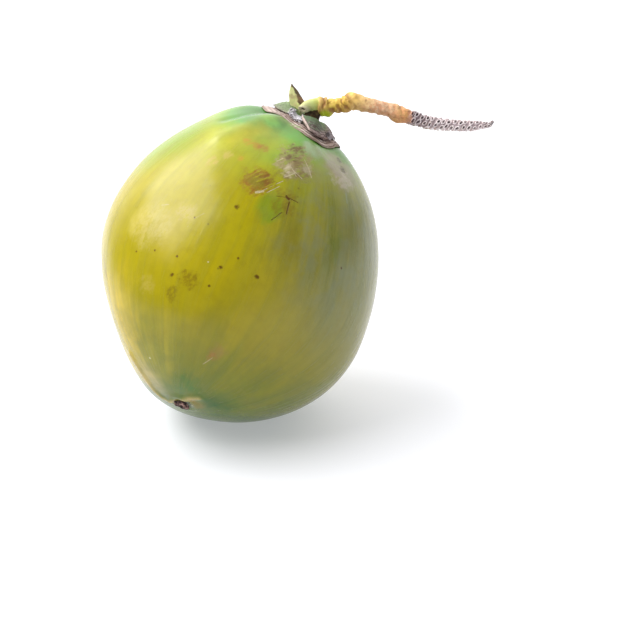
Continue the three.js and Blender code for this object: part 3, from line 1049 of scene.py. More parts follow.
# Streaks grow faint near the stalk and the tip: heights along the axis, and what is left there.
STALK_FADE = (0.072, 0.095)
LEFT_AT_STALK = 0.15
TIP_FADE = (-0.056, -0.036)
LEFT_AT_TIP = 0.35


def make_streak_group():
    """Streaks that run from the stalk to the scar, and fade where they meet at either end."""
    group, given, result = new_group("fibre_streaks", (
        ("Place", "Vector", None), ("Fineness", "Float", 14.0), ("Stretch", "Float", 12.0),
        ("Low", "Float", 0.4), ("High", "Float", 0.6)))
    rise = add(group, "SeparateXYZ", given["Place"], out=2)
    scar = at(*SCAR_PLACE)
    bend = ease(group, rise, float(scar[2]), 0.03, 0.85, 0.0)
    bend = add(group, "CombineXYZ", bend, bend, 0.0)
    bend = vector_calc(group, "MULTIPLY", bend, (float(scar[0]), float(scar[1]), 0))
    flat = vector_calc(group, "MULTIPLY", given["Place"], (1, 1, 0))
    ring = vector_calc(group, "NORMALIZE", vector_calc(group, "SUBTRACT", flat, bend))
    lift = add(group, "CombineXYZ", 0.0, 0.0, calc(group, "MULTIPLY", rise, given["Stretch"]))
    sway = grain(group, given["Place"], 25.0, 1.0)
    turn = add(group, "CombineXYZ", 0.0, calc(group, "MULTIPLY", sway, 0.08), 0.0)
    spot = vector_calc(group, "ADD", vector_calc(group, "ADD", ring, lift), turn)
    value = grain(group, spot, given["Fineness"], 3.0, 0.6)
    ends = calc(group, "MULTIPLY", ease(group, rise, *STALK_FADE, 1.0, LEFT_AT_STALK),
                ease(group, rise, *TIP_FADE, LEFT_AT_TIP, 1.0))
    mask = calc(group, "MULTIPLY", ease(group, value, given["Low"], given["High"]), ends)
    group.links.new(mask, result)
    return group


PATCH = make_patch_group()
SCRATCH = make_scratch_group()
SPECKS = make_speck_group()
STREAKS = make_streak_group()
for effect in (PATCH, SCRATCH, SPECKS, STREAKS):
    print(effect.name, "group:", len(effect.nodes), "nodes")

# %% Helpers that use the groups
def use(tree, group, **inputs):
    """Places a group in a material and fills its named inputs; returns its mask."""
    node = tree.nodes.new("ShaderNodeGroup")
    node.node_tree = group
    for name, value in inputs.items():
        put(tree, node.inputs[name], value)
    return node.outputs["Mask"]


def patch(tree, place, middle, reach, softness, ragged, fineness, stretch=1):
    """A ragged patch around a point, its lengths in mm."""
    return use(tree, PATCH, Place=place, Middle=Vector(middle), Reach=reach * MM,
               Softness=softness * MM, Ragged=ragged * MM, Grain=float(fineness),
               Stretch=float(stretch))


def new_material(name, roughness, specular):
    material = bpy.data.materials.new(name)
    material.use_nodes = True
    tree = material.node_tree
    shader = tree.nodes["Principled BSDF"]
    shader.inputs["Roughness"].default_value = roughness
    shader.inputs["Specular IOR Level"].default_value = specular
    place = add(tree, "TexCoord", out=3)
    return material, tree, place


def fruit_place(tree, place):
    """Object coordinates turned into the fruit's own axes."""
    node = tree.nodes.new("ShaderNodeMapping")
    node.vector_type = "TEXTURE"
    tree.links.new(place, node.inputs["Vector"])
    node.inputs["Location"].default_value = FRUIT_CENTRE
    node.inputs["Rotation"].default_value = (0, AXIS_LEAN, AXIS_HEADING)
    return node.outputs["Vector"]


def total(tree, *terms):
    """Adds up (value, weight) pairs."""
    result = 0.0
    for value, weight in terms:
        result = calc(tree, "MULTIPLY_ADD", value, weight, result)
    return result


def finish_material(material, colour, *relief):
    """Links the colour, and a relief of (value, height in metres) pairs as a bent normal."""
    tree = material.node_tree
    shader = tree.nodes["Principled BSDF"]
    tree.links.new(colour, shader.inputs["Base Color"])
    bump_node = tree.nodes.new("ShaderNodeBump")
    bump_node.inputs["Strength"].default_value = 1.0
    bump_node.inputs["Distance"].default_value = 1.0
    tree.links.new(total(tree, *relief), bump_node.inputs["Height"])
    tree.links.new(bump_node.outputs["Normal"], shader.inputs["Normal"])
    return material


def paint(piece, *materials):
    """Puts finished materials on a piece, in the order of its material numbers."""
    for material in materials:
        piece.data.materials.append(material)
        print(piece.name, "painted with", material.name, len(material.node_tree.nodes), "nodes")


# %% [markdown]
# ## The skin of the husk
#
# The colour of a green coconut is never one green. It is bright green around the stalk, where
# the scales shaded it, olive yellow over the belly where the sun reached it, grey green down
# one side, and green again near the tip. Painting all that by hand on an unwrapped skin would
# tie it to one mesh. A ramp along the axis with broad patches mixed over it works on any mesh,
# because each patch only needs a place on the fruit.

# %% Colour zones of the husk, with painted sheen and shade
# The lowest stops, at the tip, are its own green made darker: painted shade on the underside by the
# floor.
AXIS_COLOURS_AND_UNDERSIDE_SHADE = (
    (0.00, (60, 102, 30)), (0.10, (72, 108, 28)), (0.20, (126, 134, 24)), (0.36, (176, 162, 6)),
    (0.55, (200, 182, 0)), (0.76, (196, 184, 0)), (0.885, (184, 188, 10)), (0.925, (152, 188, 46)),
    (0.962, (112, 176, 70)), (1.00, (92, 150, 70)))

# Broad zones, some of them painted light: down, turn, reach, softness, ragged, grain size, stretch,
# strength, colour.
ZONES_AND_PAINTED_LIGHT = (
    (40, 168, 22, 14, 16, 20, 1, 0.75, (140, 186, 50)),
    (88, 190, 34, 26, 20, 18, 1, 0.85, (184, 168, 0)),
    (62, 308, 50, 32, 22, 14, 1, 0.90, (148, 152, 100)),
    (80, 70, 62, 30, 26, 14, 1, 0.75, (120, 150, 48)),
    # Partly painted sheen: the next two pale yellow rows on the crest are the skin's yellow and a
    # painted highlight.
    (33, 200, 8, 7, 8, 60, 1, 0.50, (226, 226, 80)),
    (20, 219, 5, 3.5, 4, 120, 1, 0.50, (208, 214, 92)),
    (118, 205, 20, 9, 9, 50, 2.0, 0.90, (236, 204, 60)),
    (110, 244, 13, 6, 12, 90, 2.4, 0.40, (116, 124, 34)),
    # Partly painted shade: the next three dark green rows near the tip are its own green patches,
    # made darker as shade low down by the floor.
    (122.5, 243, 7, 3, 6, 160, 1.7, 0.90, (52, 116, 34)),
    (130, 262, 12, 6, 8, 90, 1.4, 0.90, (42, 100, 10)),
    (128.5, 260, 5, 2, 4, 200, 1.5, 0.85, (14, 92, 0)),
    (134, 254, 4.5, 2.5, 4, 160, 1, 0.70, (150, 126, 40)),
    (131, 250, 2.4, 1.4, 3, 260, 1, 0.70, (172, 124, 40)),
    (113, 229, 11, 7, 7, 70, 2.0, 0.55, (196, 182, 66)),
    # Painted sheen: a pale beige patch on the lower left rim.
    (131, 223, 9, 6, 5, 90, 1.6, 0.60, (236, 208, 140)),
    (135, 232, 7, 4, 5, 120, 1, 0.25, (128, 128, 86)),
    (46, 249, 6, 2.4, 6, 120, 1.7, 0.60, (120, 172, 34)),
    # Painted highlight: the next two pale rows widen the sheen over the upper left.
    (69.5, 200, 8, 6, 6, 60, 1, 0.40, (238, 220, 116)),
    (67, 210, 8, 6, 6, 60, 1, 0.20, (232, 214, 140)),
    (24, 226, 13, 7, 8, 60, 1, 0.50, (194, 186, 30)),
    (26, 211, 8, 6, 6, 60, 1, 0.40, (236, 204, 56)),
    # Painted light: a pale green patch that lifts the shade the scales cast beside the stalk.
    (14.2, 215, 4.5, 3, 4, 120, 1, 0.80, (156, 226, 104)),
    (20, 270, 6, 3, 5, 150, 1, 0.70, (184, 204, 166)),
    (29, 270, 5, 3, 5, 150, 1, 0.50, (160, 166, 104)),
    (24, 298, 11, 5, 9, 130, 1, 0.75, (190, 178, 150)),
    (46, 236, 8, 5, 9, 120, 1.6, 0.35, (196, 176, 0)),
    (54, 262, 8, 4, 9, 120, 1.8, 0.40, (158, 140, 44)),
    (52, 284, 5, 3, 8, 140, 2.2, 0.35, (84, 128, 40)),
    (101, 251, 4, 2.5, 5, 200, 1, 0.40, (186, 128, 84)),
)


def ground_colour(tree, place, rise):
    """The ramp along the axis with the broad zones laid over it, painted sheen and shade among
    them.
    """
    share = add(tree, "MapRange", rise, -HALF_TO_TIP, HALF_TO_STALK, 0.0, 1.0)
    colour = ramp(tree, share, *AXIS_COLOURS_AND_UNDERSIDE_SHADE)
    for down, turn, reach, soft, ragged, fineness, stretch, strength, shade in ZONES_AND_PAINTED_LIGHT:
        mask = patch(tree, place, at(down, turn), reach, soft, ragged, fineness, stretch)
        colour = tint(tree, colour, shade, mask, strength)
    return colour


print("husk zones:", len(ZONES_AND_PAINTED_LIGHT))

# %% [markdown]
# ## Streaks in the skin
#
# Fibres run from the stalk to the scar under the skin and show as faint streaks, stronger low
# down and on the grey green side. Stripes from a wave would be too regular, so noise is
# stretched along the fruit instead, in several widths laid over each other.

# %% Streaks of the husk
# Streaks: fineness, stretch, low, high, strength all over, low down, on the grey
# green side, colour.
STREAK_SETS = (
    (5.0, 4.0, 0.40, 0.66, 0.20, 0.02, 0.00, (176, 160, 20)),
    (9.0, 2.0, 0.38, 0.64, 0.08, 0.20, 0.12, (106, 122, 40)),
    (16.0, 1.2, 0.40, 0.66, 0.10, 0.18, 0.12, (100, 118, 36)),
    (24.0, 1.4, 0.44, 0.66, 0.06, 0.00, 0.04, (188, 166, 30)),
    (36.0, 0.8, 0.44, 0.68, 0.06, 0.08, 0.12, (84, 102, 30)),
    (30.0, 0.9, 0.46, 0.74, 0.02, 0.02, 0.20, (160, 172, 136)),
    (75.0, 0.7, 0.45, 0.70, 0.05, 0.03, 0.06, (194, 184, 70)),
)


# The middle of the grey green side: down, turn.
GREY_SIDE = (50, 292)

# Lines that were saved on the skin's points: name, strength, colour. The valley gets a darker
# green of painted shade, and the crest and the ridge get pale painted highlights.
LINE_SHADE_AND_HIGHLIGHTS = (("valley_line", 0.40, (84, 140, 66)), ("crest_line", 0.30, (188, 200, 110)),
              ("ridge_line", 0.75, (214, 190, 120)))


def add_streaks(tree, place, rise, colour):
    """Lays streaks, mottling, and lines of painted shade and highlight; returns the colour and the
    masks that the relief needs.
    """
    low_down = ease(tree, rise, -0.035, 0.005, 1.0, 0.0)
    grey_side = patch(tree, place, at(*GREY_SIDE), 42, 16, 14, 30)
    streaks = []
    for fineness, stretch, low, high, base, low_extra, grey_extra, shade in STREAK_SETS:
        mask = use(tree, STREAKS, Place=place, Fineness=fineness, Stretch=stretch, Low=low,
                   High=high)
        streaks.append(mask)
        strength = calc(tree, "MULTIPLY_ADD", low_down, low_extra, base)
        strength = calc(tree, "MULTIPLY_ADD", grey_side, grey_extra, strength)
        colour = tint(tree, colour, shade, mask, strength)
    mottle = grain(tree, place, 160.0, 5.0, 0.65)
    colour = tint(tree, colour, (140, 122, 0), ease(tree, mottle, 0.40, 0.75, 0.0, 0.22))
    blotch = ease(tree, grain(tree, place, 90.0, 4.0, 0.6), 0.44, 0.62, 0.0, 0.34)
    colour = tint(tree, colour, (118, 126, 52), blotch, low_down)
    cloud = ease(tree, grain(tree, place, 75.0, 4.0, 0.6), 0.42, 0.64, 0.0, 0.40)
    colour = tint(tree, colour, (150, 158, 126), cloud, grey_side)
    for name, strength, shade in LINE_SHADE_AND_HIGHLIGHTS:
        line = add(tree, "Attribute", attribute_name=name, out=2)
        colour = tint(tree, colour, shade, line, strength)
    return colour, streaks[2], streaks[-1], mottle


print("streak widths:", len(STREAK_SETS))

# %% [markdown]
# ## Wear on the skin
#
# A fruit that has been carried is rubbed brown where it met its neighbours, scratched, and
# specked by insects. Each mark is placed one by one with the groups from before, because random
# marks alone never gather in the right places.

# %% Rubbed patches and painted sheen
# Down, turn, reach, softness, ragged, grain, strength, colour.
RUBS_AND_PAINTED_SHEEN = (
    (39.5, 239.0, 7.6, 2.6, 8, 230, 0.85, (160, 96, 18)),
    (39.8, 238.5, 4.2, 2.2, 6, 260, 0.80, (146, 140, 24)),
    (37.2, 243.5, 4.0, 1.6, 7, 300, 0.65, (130, 92, 24)),
    (27.4, 220.5, 2.6, 1.6, 3, 260, 0.60, (214, 146, 52)),
    (27.1, 226.0, 2.4, 1.4, 3, 260, 0.60, (196, 130, 46)),
    (26.9, 231.5, 3.0, 1.4, 3, 260, 0.70, (176, 118, 48)),
    (25.6, 256.5, 9.0, 2.6, 8, 220, 0.85, (176, 158, 108)),
    (29.6, 252.5, 7.6, 2.6, 8, 200, 0.90, (140, 116, 70)),
    (29.2, 249.5, 5.2, 2.0, 8, 240, 0.70, (200, 182, 134)),
    (31.2, 253.5, 3.8, 2.0, 6, 300, 0.85, (226, 212, 174)),
    (29.8, 261.0, 5.6, 2.2, 8, 260, 0.80, (146, 124, 76)),
    (22.6, 254.5, 4.2, 1.8, 7, 300, 0.85, (108, 82, 38)),
    (26.6, 250.5, 2.6, 1.4, 6, 320, 0.75, (104, 80, 38)),
    (28.2, 264.0, 2.8, 1.2, 5, 320, 0.65, (206, 196, 160)),
    (43.0, 255.0, 6.5, 2.6, 9, 220, 0.55, (144, 112, 34)),
    (34.5, 224.0, 1.5, 0.9, 3.0, 260, 0.50, (224, 160, 50)),
    (24.0, 301.5, 2.6, 0.8, 3.0, 320, 0.85, (84, 76, 60)),
    (20.6, 303.0, 1.8, 0.7, 3.0, 320, 0.75, (96, 88, 70)),
    # Partly painted reflection: this beige haze is a mark on the skin with a painted reflection of
    # the room over it.
    (27.0, 295.0, 7.6, 3.0, 9, 240, 0.70, (214, 200, 174)),
    (24.0, 291.0, 5.0, 2.0, 8, 240, 0.45, (140, 122, 100)),
    # Painted highlight: the next two pale cream patches widen the sheen over the upper left.
    (69.0, 206.0, 12.0, 6.0, 9, 120, 0.22, (248, 232, 170)),
    (59.5, 217.5, 5.0, 2.6, 7, 220, 0.30, (240, 216, 168)),
    (40.0, 212.5, 3.0, 1.5, 5, 220, 0.35, (240, 196, 130)),
    (35.5, 216.5, 3.0, 1.5, 5, 240, 0.30, (240, 196, 130)),
    (47.5, 219.0, 3.4, 1.6, 6, 240, 0.30, (196, 190, 96)),
    (80.0, 231.0, 4.4, 1.8, 7, 260, 0.65, (130, 100, 6)),
    (87.2, 227.0, 3.2, 1.4, 6, 280, 0.60, (120, 96, 20)),
    (88.6, 216.5, 4.0, 2.0, 6, 300, 0.28, (220, 196, 110)),
    (104.0, 249.5, 2.6, 1.2, 4, 300, 0.60, (176, 116, 60)),
)

# How far the grain of a rubbed patch is drawn out along the scuffs; 1 would be endless.
SCUFF_STRETCH = 0.72

# Marks at least this strong are deep enough to change the gloss and the relief. Few should be:
# a renderer holds only so many masks at once, and past that the whole picture comes out black.
FELT = 0.8


def brushed(tree, place):
    """Coordinates squeezed along the way the skin was scuffed, so that grain is drawn out."""
    way = Vector(at(35.8, 251.2) - at(43.0, 241.8)).normalized()
    along = vector_calc(tree, "DOT_PRODUCT", place, way, out=1)
    along = add(tree, "CombineXYZ", along, along, along)
    shift = vector_calc(tree, "MULTIPLY", along, way * SCUFF_STRETCH)
    return vector_calc(tree, "SUBTRACT", place, shift)


def add_rubs(tree, place, colour):
    """Lays the rubbed patches and the patches of painted sheen; returns the colour and the mask of
    the deep ones.
    """
    rubbed = 0.0
    flecks = ease(tree, grain(tree, brushed(tree, place), 520.0, 6.0, 0.75), 0.36, 0.58, 0.10, 1.0)
    for down, turn, reach, soft, ragged, fineness, strength, shade in RUBS_AND_PAINTED_SHEEN:
        mask = patch(tree, place, at(down, turn), reach, soft, ragged, fineness)
        mask = calc(tree, "MULTIPLY", calc(tree, "MULTIPLY", mask, strength), flecks)
        if strength >= FELT:
            rubbed = calc(tree, "MAXIMUM", rubbed, mask)
        colour = tint(tree, colour, shade, mask)
    return colour, rubbed


print("rubbed patches:", len(RUBS_AND_PAINTED_SHEEN))

# %% Scratches
# Start, end, half width in mm, strength, colour.
PALE_SCRATCH = (222, 206, 164)
DARK_SCRATCH = (104, 66, 16)
MINT_STREAK = (168, 182, 158)
SCRATCHES = (
    ((43.0, 241.8), (35.8, 251.2), 0.15, 1.00, PALE_SCRATCH),
    ((41.9, 245.4), (38.0, 250.4), 0.13, 0.90, PALE_SCRATCH),
    ((43.3, 240.6), (42.0, 243.4), 0.50, 0.75, PALE_SCRATCH),
    ((30.6, 254.6), (32.6, 261.6), 0.17, 1.00, PALE_SCRATCH),
    ((34.4, 251.0), (31.8, 256.0), 0.24, 0.80, PALE_SCRATCH),
    ((29.2, 252.2), (32.6, 257.8), 0.15, 0.80, PALE_SCRATCH),
    ((25.4, 261.6), (28.2, 265.4), 0.18, 0.75, PALE_SCRATCH),
    ((28.2, 265.4), (31.0, 267.6), 0.20, 0.75, PALE_SCRATCH),
    ((29.6, 243.8), (27.8, 246.6), 0.20, 0.75, PALE_SCRATCH),
    ((41.8, 250.1), (40.8, 256.0), 0.16, 0.70, DARK_SCRATCH),
    ((40.8, 256.0), (41.2, 261.6), 0.17, 0.90, DARK_SCRATCH),
    ((42.0, 257.3), (46.3, 257.4), 0.22, 0.90, DARK_SCRATCH),
    ((46.4, 255.2), (50.1, 251.8), 0.19, 0.80, DARK_SCRATCH),
    ((41.3, 256.6), (40.5, 255.2), 0.50, 0.90, DARK_SCRATCH),
    ((108.6, 247.6), (104.4, 250.0), 0.16, 0.65, PALE_SCRATCH),
    ((61.6, 205.4), (60.2, 208.2), 0.16, 0.60, PALE_SCRATCH),
    ((66.8, 217.8), (61.0, 219.6), 0.13, 0.55, PALE_SCRATCH),
    ((68.4, 220.2), (63.4, 221.4), 0.13, 0.50, PALE_SCRATCH),
    ((60.4, 222.0), (57.2, 224.6), 0.16, 0.50, PALE_SCRATCH),
    ((90.6, 183.4), (96.8, 193.6), 0.30, 0.70, DARK_SCRATCH),
    ((33.0, 294.6), (36.0, 294.0), 0.50, 0.40, MINT_STREAK),
)


def add_scratches(tree, place, colour):
    """Lays the scratches; returns the colour and the mask of the deep ones."""
    cut = 0.0
    for start, end, width, strength, shade in SCRATCHES:
        mask = use(tree, SCRATCH, Place=place, Start=Vector(at(*start)), End=Vector(at(*end)),
                   Width=width * MM)
        mask = calc(tree, "MULTIPLY", mask, strength)
        if strength >= FELT:
            cut = calc(tree, "MAXIMUM", cut, mask)
        colour = tint(tree, colour, shade, mask)
    return colour, cut


print("scratches:", len(SCRATCHES))

# %% Specks
# Single dark specks: down, turn, radius in mm.
SPECK_PLACES = (
    (81.5, 224.3, 0.95), (71.6, 239.9, 0.85), (79.4, 238.8, 0.60), (50.5, 235.8, 1.05),
    (70.1, 254.0, 1.15), (124.7, 200.2, 0.80), (80.4, 205.9, 0.5), (76.6, 213.6, 0.5),
    (74.6, 223.1, 0.5), (66.4, 244.7, 0.5), (60.0, 222.0, 0.6), (58.5, 290.0, 0.6),
    (70.0, 20.0, 1.0), (85.0, 60.0, 0.9), (64.0, 95.0, 0.8), (96.0, 120.0, 1.0))
PALE_SPECKS = ((116.8, 225.5, 0.7), (39.3, 337.2, 0.6), (71.8, 234.9, 0.4), (110.0, 30.0, 0.6))

# Each kind of single speck: places, how ragged against its radius, strength, colour.
SPECK_KINDS = ((SPECK_PLACES, 1.6, 0.85, (92, 42, 6)), (PALE_SPECKS, 1, 0.8, (236, 232, 190)))


def add_specks(tree, place, colour):
    """Lays fine random dots, and then the single specks."""
    dots = use(tree, SPECKS, Place=place, Scale=95.0, Size=0.075, Share=0.30)
    colour = tint(tree, colour, (104, 84, 26), dots, 0.55)
    for places, ragged, strength, shade in SPECK_KINDS:
        for down, turn, radius in places:
            mask = patch(tree, place, at(down, turn), radius, radius * 0.5, radius * ragged, 500)
            colour = tint(tree, colour, shade, mask, strength)
    return colour


print("single specks:", len(SPECK_PLACES) + len(PALE_SPECKS))

# %% [markdown]
# ## The wax
#
# Over the colour lies a thin wax, so the skin has a soft broad sheen and not a hard shine. The
# wax is a weak rough coat over a fairly smooth skin. It is dull where the fruit is rubbed, and
# pores, streaks and scratches are a relief of a few hundredths of a millimetre.

# %% Make the husk material
SKIN_ROUGHNESS = 0.19
SKIN_GLOSS = 0.24
WAX_WEIGHT = 0.20
WAX_ROUGHNESS = 0.27


def make_husk_skin():
    material, tree, place = new_material("husk_skin", SKIN_ROUGHNESS, SKIN_GLOSS)
    shader = tree.nodes["Principled BSDF"]
    place = fruit_place(tree, place)
    rise = add(tree, "SeparateXYZ", place, out=2)
    sway = calc(tree, "MULTIPLY_ADD", grain(tree, place, 22.0, 2.0), 0.03, -0.015)
    rise = calc(tree, "ADD", rise, sway)
    colour = ground_colour(tree, place, rise)
    colour, fine, hair, mottle = add_streaks(tree, place, rise, colour)
    colour, rubbed = add_rubs(tree, place, colour)
    colour = add_specks(tree, place, colour)
    colour, cut = add_scratches(tree, place, colour)

    dull = total(tree, (rubbed, 0.30), (mottle, 0.10), (fine, 0.05))
    tree.links.new(calc(tree, "ADD", dull, SKIN_ROUGHNESS), shader.inputs["Roughness"])
    shader.inputs["Coat Weight"].default_value = WAX_WEIGHT
    shader.inputs["Coat Roughness"].default_value = WAX_ROUGHNESS
    pores = grain(tree, place, 900.0, 2.0, 0.5)
    return finish_material(
        material, colour, (fine, 0.03 * MM), (hair, 0.012 * MM), (pores, 0.035 * MM),
        (mottle, 0.06 * MM), (rubbed, -0.12 * MM), (cut, -0.25 * MM))


paint(husk_skin, make_husk_skin())

# %% [markdown]
# ## The dry scales
#
# Both whorls have dried in stripes that follow their rims: brown lines on pinkish grey. The
# stripes use the map that was laid on each scale, where U runs across it and V runs outward, so
# they stay parallel to the rim however it bends. The sepals keep some green near the stalk.

# %% Helpers for the scales' materials
def scale_map(tree):
    """Across and outward shares from the piece's own map."""
    chart = tree.nodes.new("ShaderNodeUVMap")
    chart.uv_map = "scale_map"
    split = tree.nodes.new("ShaderNodeSeparateXYZ")
    tree.links.new(chart.outputs[0], split.inputs[0])
    return split.outputs[0], split.outputs[1]


def rim_stripes(tree, place, outward, count, warp):
    """Thin lines parallel to the rim, bent a little by noise."""
    bent = calc(tree, "MULTIPLY_ADD", grain(tree, place, 240.0, 3.0), warp, outward)
    wave = calc(tree, "SINE", calc(tree, "MULTIPLY", bent, count * 2 * math.pi))
    return ease(tree, wave, -0.2, 0.8)


def on_sepals(heading, radius):
    """A point in the room on the sepals' upper side; radius in mm."""
    x, y = polar(np.array([radius * MM]), heading)
    return seat_to_room(np.stack([x, y, sepal_top(x, y)], -1))[0]


def add_stains(tree, place, colour, stains):
    """Lays ragged patches at places on the whorl of scales."""
    for heading, radius, reach, soft, ragged, fineness, strength, shade in stains:
        mask = patch(tree, place, on_sepals(heading, radius), reach, soft, ragged, fineness)
        colour = tint(tree, colour, shade, mask, strength)
    return colour


# %% Make the petals' material
# Stains: heading, distance from the stalk in mm, reach, softness, ragged, grain, strength, colour.
PETAL_FOLD = ((190, 24.0, 4.6, 1.5, 3, 300, 0.60, (246, 222, 212)),)


def make_petal_scale():
    material, tree, place = new_material("petal_scale", 0.62, 0.35)
    outward = scale_map(tree)[1]
    lines = rim_stripes(tree, place, outward, 8, 0.14)
    patchy = grain(tree, place, 190.0, 4.0, 0.6)
    colour = mix(tree, ease(tree, patchy, 0.35, 0.65), linear(196, 168, 154), linear(240, 220, 210))
    colour = tint(tree, colour, (100, 70, 58), lines, 0.78)
    colour = add_stains(tree, place, colour, PETAL_FOLD)
    colour = tint(tree, colour, (150, 128, 104), ease(tree, outward, 0.90, 1.0, 0.0, 0.55))
    shreds = ease(tree, grain(tree, place, 620.0, 4.0, 0.7), 0.56, 0.68)
    colour = tint(tree, colour, (214, 190, 178), shreds, 0.6)
    return finish_material(material, colour, (lines, -0.12 * MM), (shreds, 0.10 * MM),
                           (patchy, 0.15 * MM))


petal_paint = make_petal_scale()
for petal in petals:
    paint(petal, petal_paint)

# %% Make the sepals' material
SEPAL_COLOURS = ((0.0, (112, 172, 78)), (0.28, (120, 166, 92)), (0.48, (140, 156, 118)),
                 (0.66, (172, 158, 146)), (0.84, (204, 178, 174)), (1.0, (150, 122, 112)))
SEPAL_STAINS_AND_SHADE = (
    # Painted shade: a dark green patch at the front, by the rolled lip of the first sepal.
    (272, 15, 8, 2.5, 5, 300, 0.85, (88, 116, 80)),
    (168, 7, 3, 1.5, 2, 300, 0.90, (226, 236, 170)),
    (186, 15, 7, 3, 6, 260, 0.70, (172, 182, 146)),
)
SEPAL_CRUSTS = (
    (228, 11.5, 4.6, 1.0, 5, 420, 0.90, (226, 222, 230)),
    (328, 17, 3, 1, 4, 400, 0.60, (206, 198, 206)),
    (318, 16.5, 1.9, 0.5, 4.5, 420, 0.85, (52, 38, 36)),
)


def make_sepal_scale():
    material, tree, place = new_material("sepal_scale", 0.58, 0.35)
    across, outward = scale_map(tree)
    lines = rim_stripes(tree, place, outward, 9, 0.30)
    patchy = grain(tree, place, 170.0, 4.0, 0.6)
    green = patch(tree, place, on_sepals(178, 13), 9.5, 3, 5, 220)
    edge = calc(tree, "MULTIPLY_ADD", calc(tree, "SUBTRACT", patchy, 0.5), 0.8, outward)
    edge = calc(tree, "MULTIPLY_ADD", green, -0.50, edge)
    colour = ramp(tree, edge, *SEPAL_COLOURS)
    colour = add_stains(tree, place, colour, SEPAL_STAINS_AND_SHADE)
    dry = ease(tree, edge, 0.50, 0.85)
    brown = calc(tree, "MULTIPLY", lines, ease(tree, dry, 0.0, 1.0, 0.20, 0.80))
    colour = tint(tree, colour, (84, 60, 60), brown)
    shreds = ease(tree, grain(tree, place, 560.0, 4.0, 0.7), 0.55, 0.66)
    torn = calc(tree, "MULTIPLY", shreds, ease(tree, dry, 0.0, 1.0, 0.10, 0.60))
    colour = tint(tree, colour, (206, 188, 186), torn)
    colour = tint(tree, colour, (232, 206, 196), ease(tree, across, 0.962, 0.985), 0.8)
    colour = add_stains(tree, place, colour, SEPAL_CRUSTS)
    pits = use(tree, SPECKS, Place=place, Scale=620.0, Size=0.35, Share=0.35)
    colour = tint(tree, colour, (70, 56, 56), pits, 0.45)
    return finish_material(material, colour, (lines, -0.10 * MM), (shreds, 0.08 * MM),
                           (patchy, 0.20 * MM), (pits, -0.15 * MM))


sepal_paint = make_sepal_scale()
for sepal in sepals:
    paint(sepal, sepal_paint)

# %% [markdown]
# ## Plain dry stuff
#
# Crust, torn tissue, the foot and the stigma are all crumbly matter with no pattern of their
# own. One grain that drives both a ramp of colours and the relief is enough for that, so the
# dark spots are also the deep ones.

# %% Make the crumbly materials
# Each finish: roughness, gloss, grain, detail, graininess, relief in mm, colours.
CRUMBLY = {
    "silvery_crust": (0.5, 0.4, 600.0, 4.0, 0.65, 0.3,
                      ((0.33, (112, 98, 110)), (0.46, (230, 224, 230)), (0.60, (264, 260, 264)))),
    "torn_end": (0.8, 0.3, 900.0, 4.0, 0.6, 0.4,
                 ((0.35, (226, 212, 170)), (0.60, (262, 250, 214)))),
    "torn_pith": (0.8, 0.3, 900.0, 4.0, 0.6, 0.4, ((0.35, (40, 28, 20)), (0.60, (92, 70, 44)))),
    # The foot's near black browns are its own dry brown made darker as painted shade under the
    # stalk.
    "stalk_foot": (0.7, 0.3, 500.0, 4.0, 0.6, 0.4,
                   ((0.3, (38, 26, 16)), (0.5, (78, 56, 30)), (0.7, (120, 104, 52)))),
    "dried_stigma": (0.75, 0.3, 520.0, 5.0, 0.65, 0.6,
                     ((0.35, (26, 17, 14)), (0.49, (66, 46, 40)), (0.60, (164, 126, 116)),
                      (0.74, (222, 186, 172)))),
}


def make_crumbly(name):
    """One grain gives both the colour and the relief."""
    roughness, gloss, fineness, detail, graininess, relief, colours = CRUMBLY[name]
    material, tree, place = new_material(name, roughness, gloss)
    crumbs = grain(tree, place, fineness, detail, graininess)
    return finish_material(material, ramp(tree, crumbs, *colours), (crumbs, relief * MM))


paint(crust_flakes, make_crumbly("silvery_crust"))
paint(stalk_foot, make_crumbly("stalk_foot"))
paint(stigma_scar, make_crumbly("dried_stigma"))

# %% [markdown]
# ## The bark of the stalk
#
# Fresh at the torn end and dead at the tail, the stalk runs through pale green, gold, peach and
# orange to grey. A ramp along its own map gives that run, and the raised mask that was saved
# with the relief puts pale crests on the scars and brown into the grooves.

# %% Make the stalk's material
STALK_COLOURS = (
    (0.000, (250, 242, 204)), (0.012, (226, 228, 160)), (0.060, (222, 232, 140)),
    (0.078, (214, 216, 110)), (0.088, (250, 206, 120)), (0.120, (236, 196, 104)),
    (0.150, (238, 208, 84)), (0.200, (256, 214, 98)), (0.235, (244, 198, 88)),
    (0.265, (280, 232, 128)), (0.330, (280, 236, 164)), (0.400, (280, 232, 190)),
    (0.460, (280, 230, 182)), (0.495, (280, 222, 150)), (0.540, (280, 208, 128)),
    (0.562, (250, 208, 188)), (0.572, (180, 162, 168)), (0.640, (208, 190, 194)),
    (0.700, (262, 246, 248)), (0.940, (256, 240, 242)), (0.985, (120, 112, 108)),
    (1.000, (80, 80, 78)))


def stalk_spot(s, around):
    """A point in the room near the stalk's surface, s in mm along it."""
    ring = int(s * MM / STALK_LENGTH * RINGS)
    middle, radius = STALK_LINE[ring, :3], STALK_LINE[ring, 3]
    turn = math.radians(around)
    return SEAT_ROOM + middle + radius * np.array([0, -math.sin(turn), math.cos(turn)])


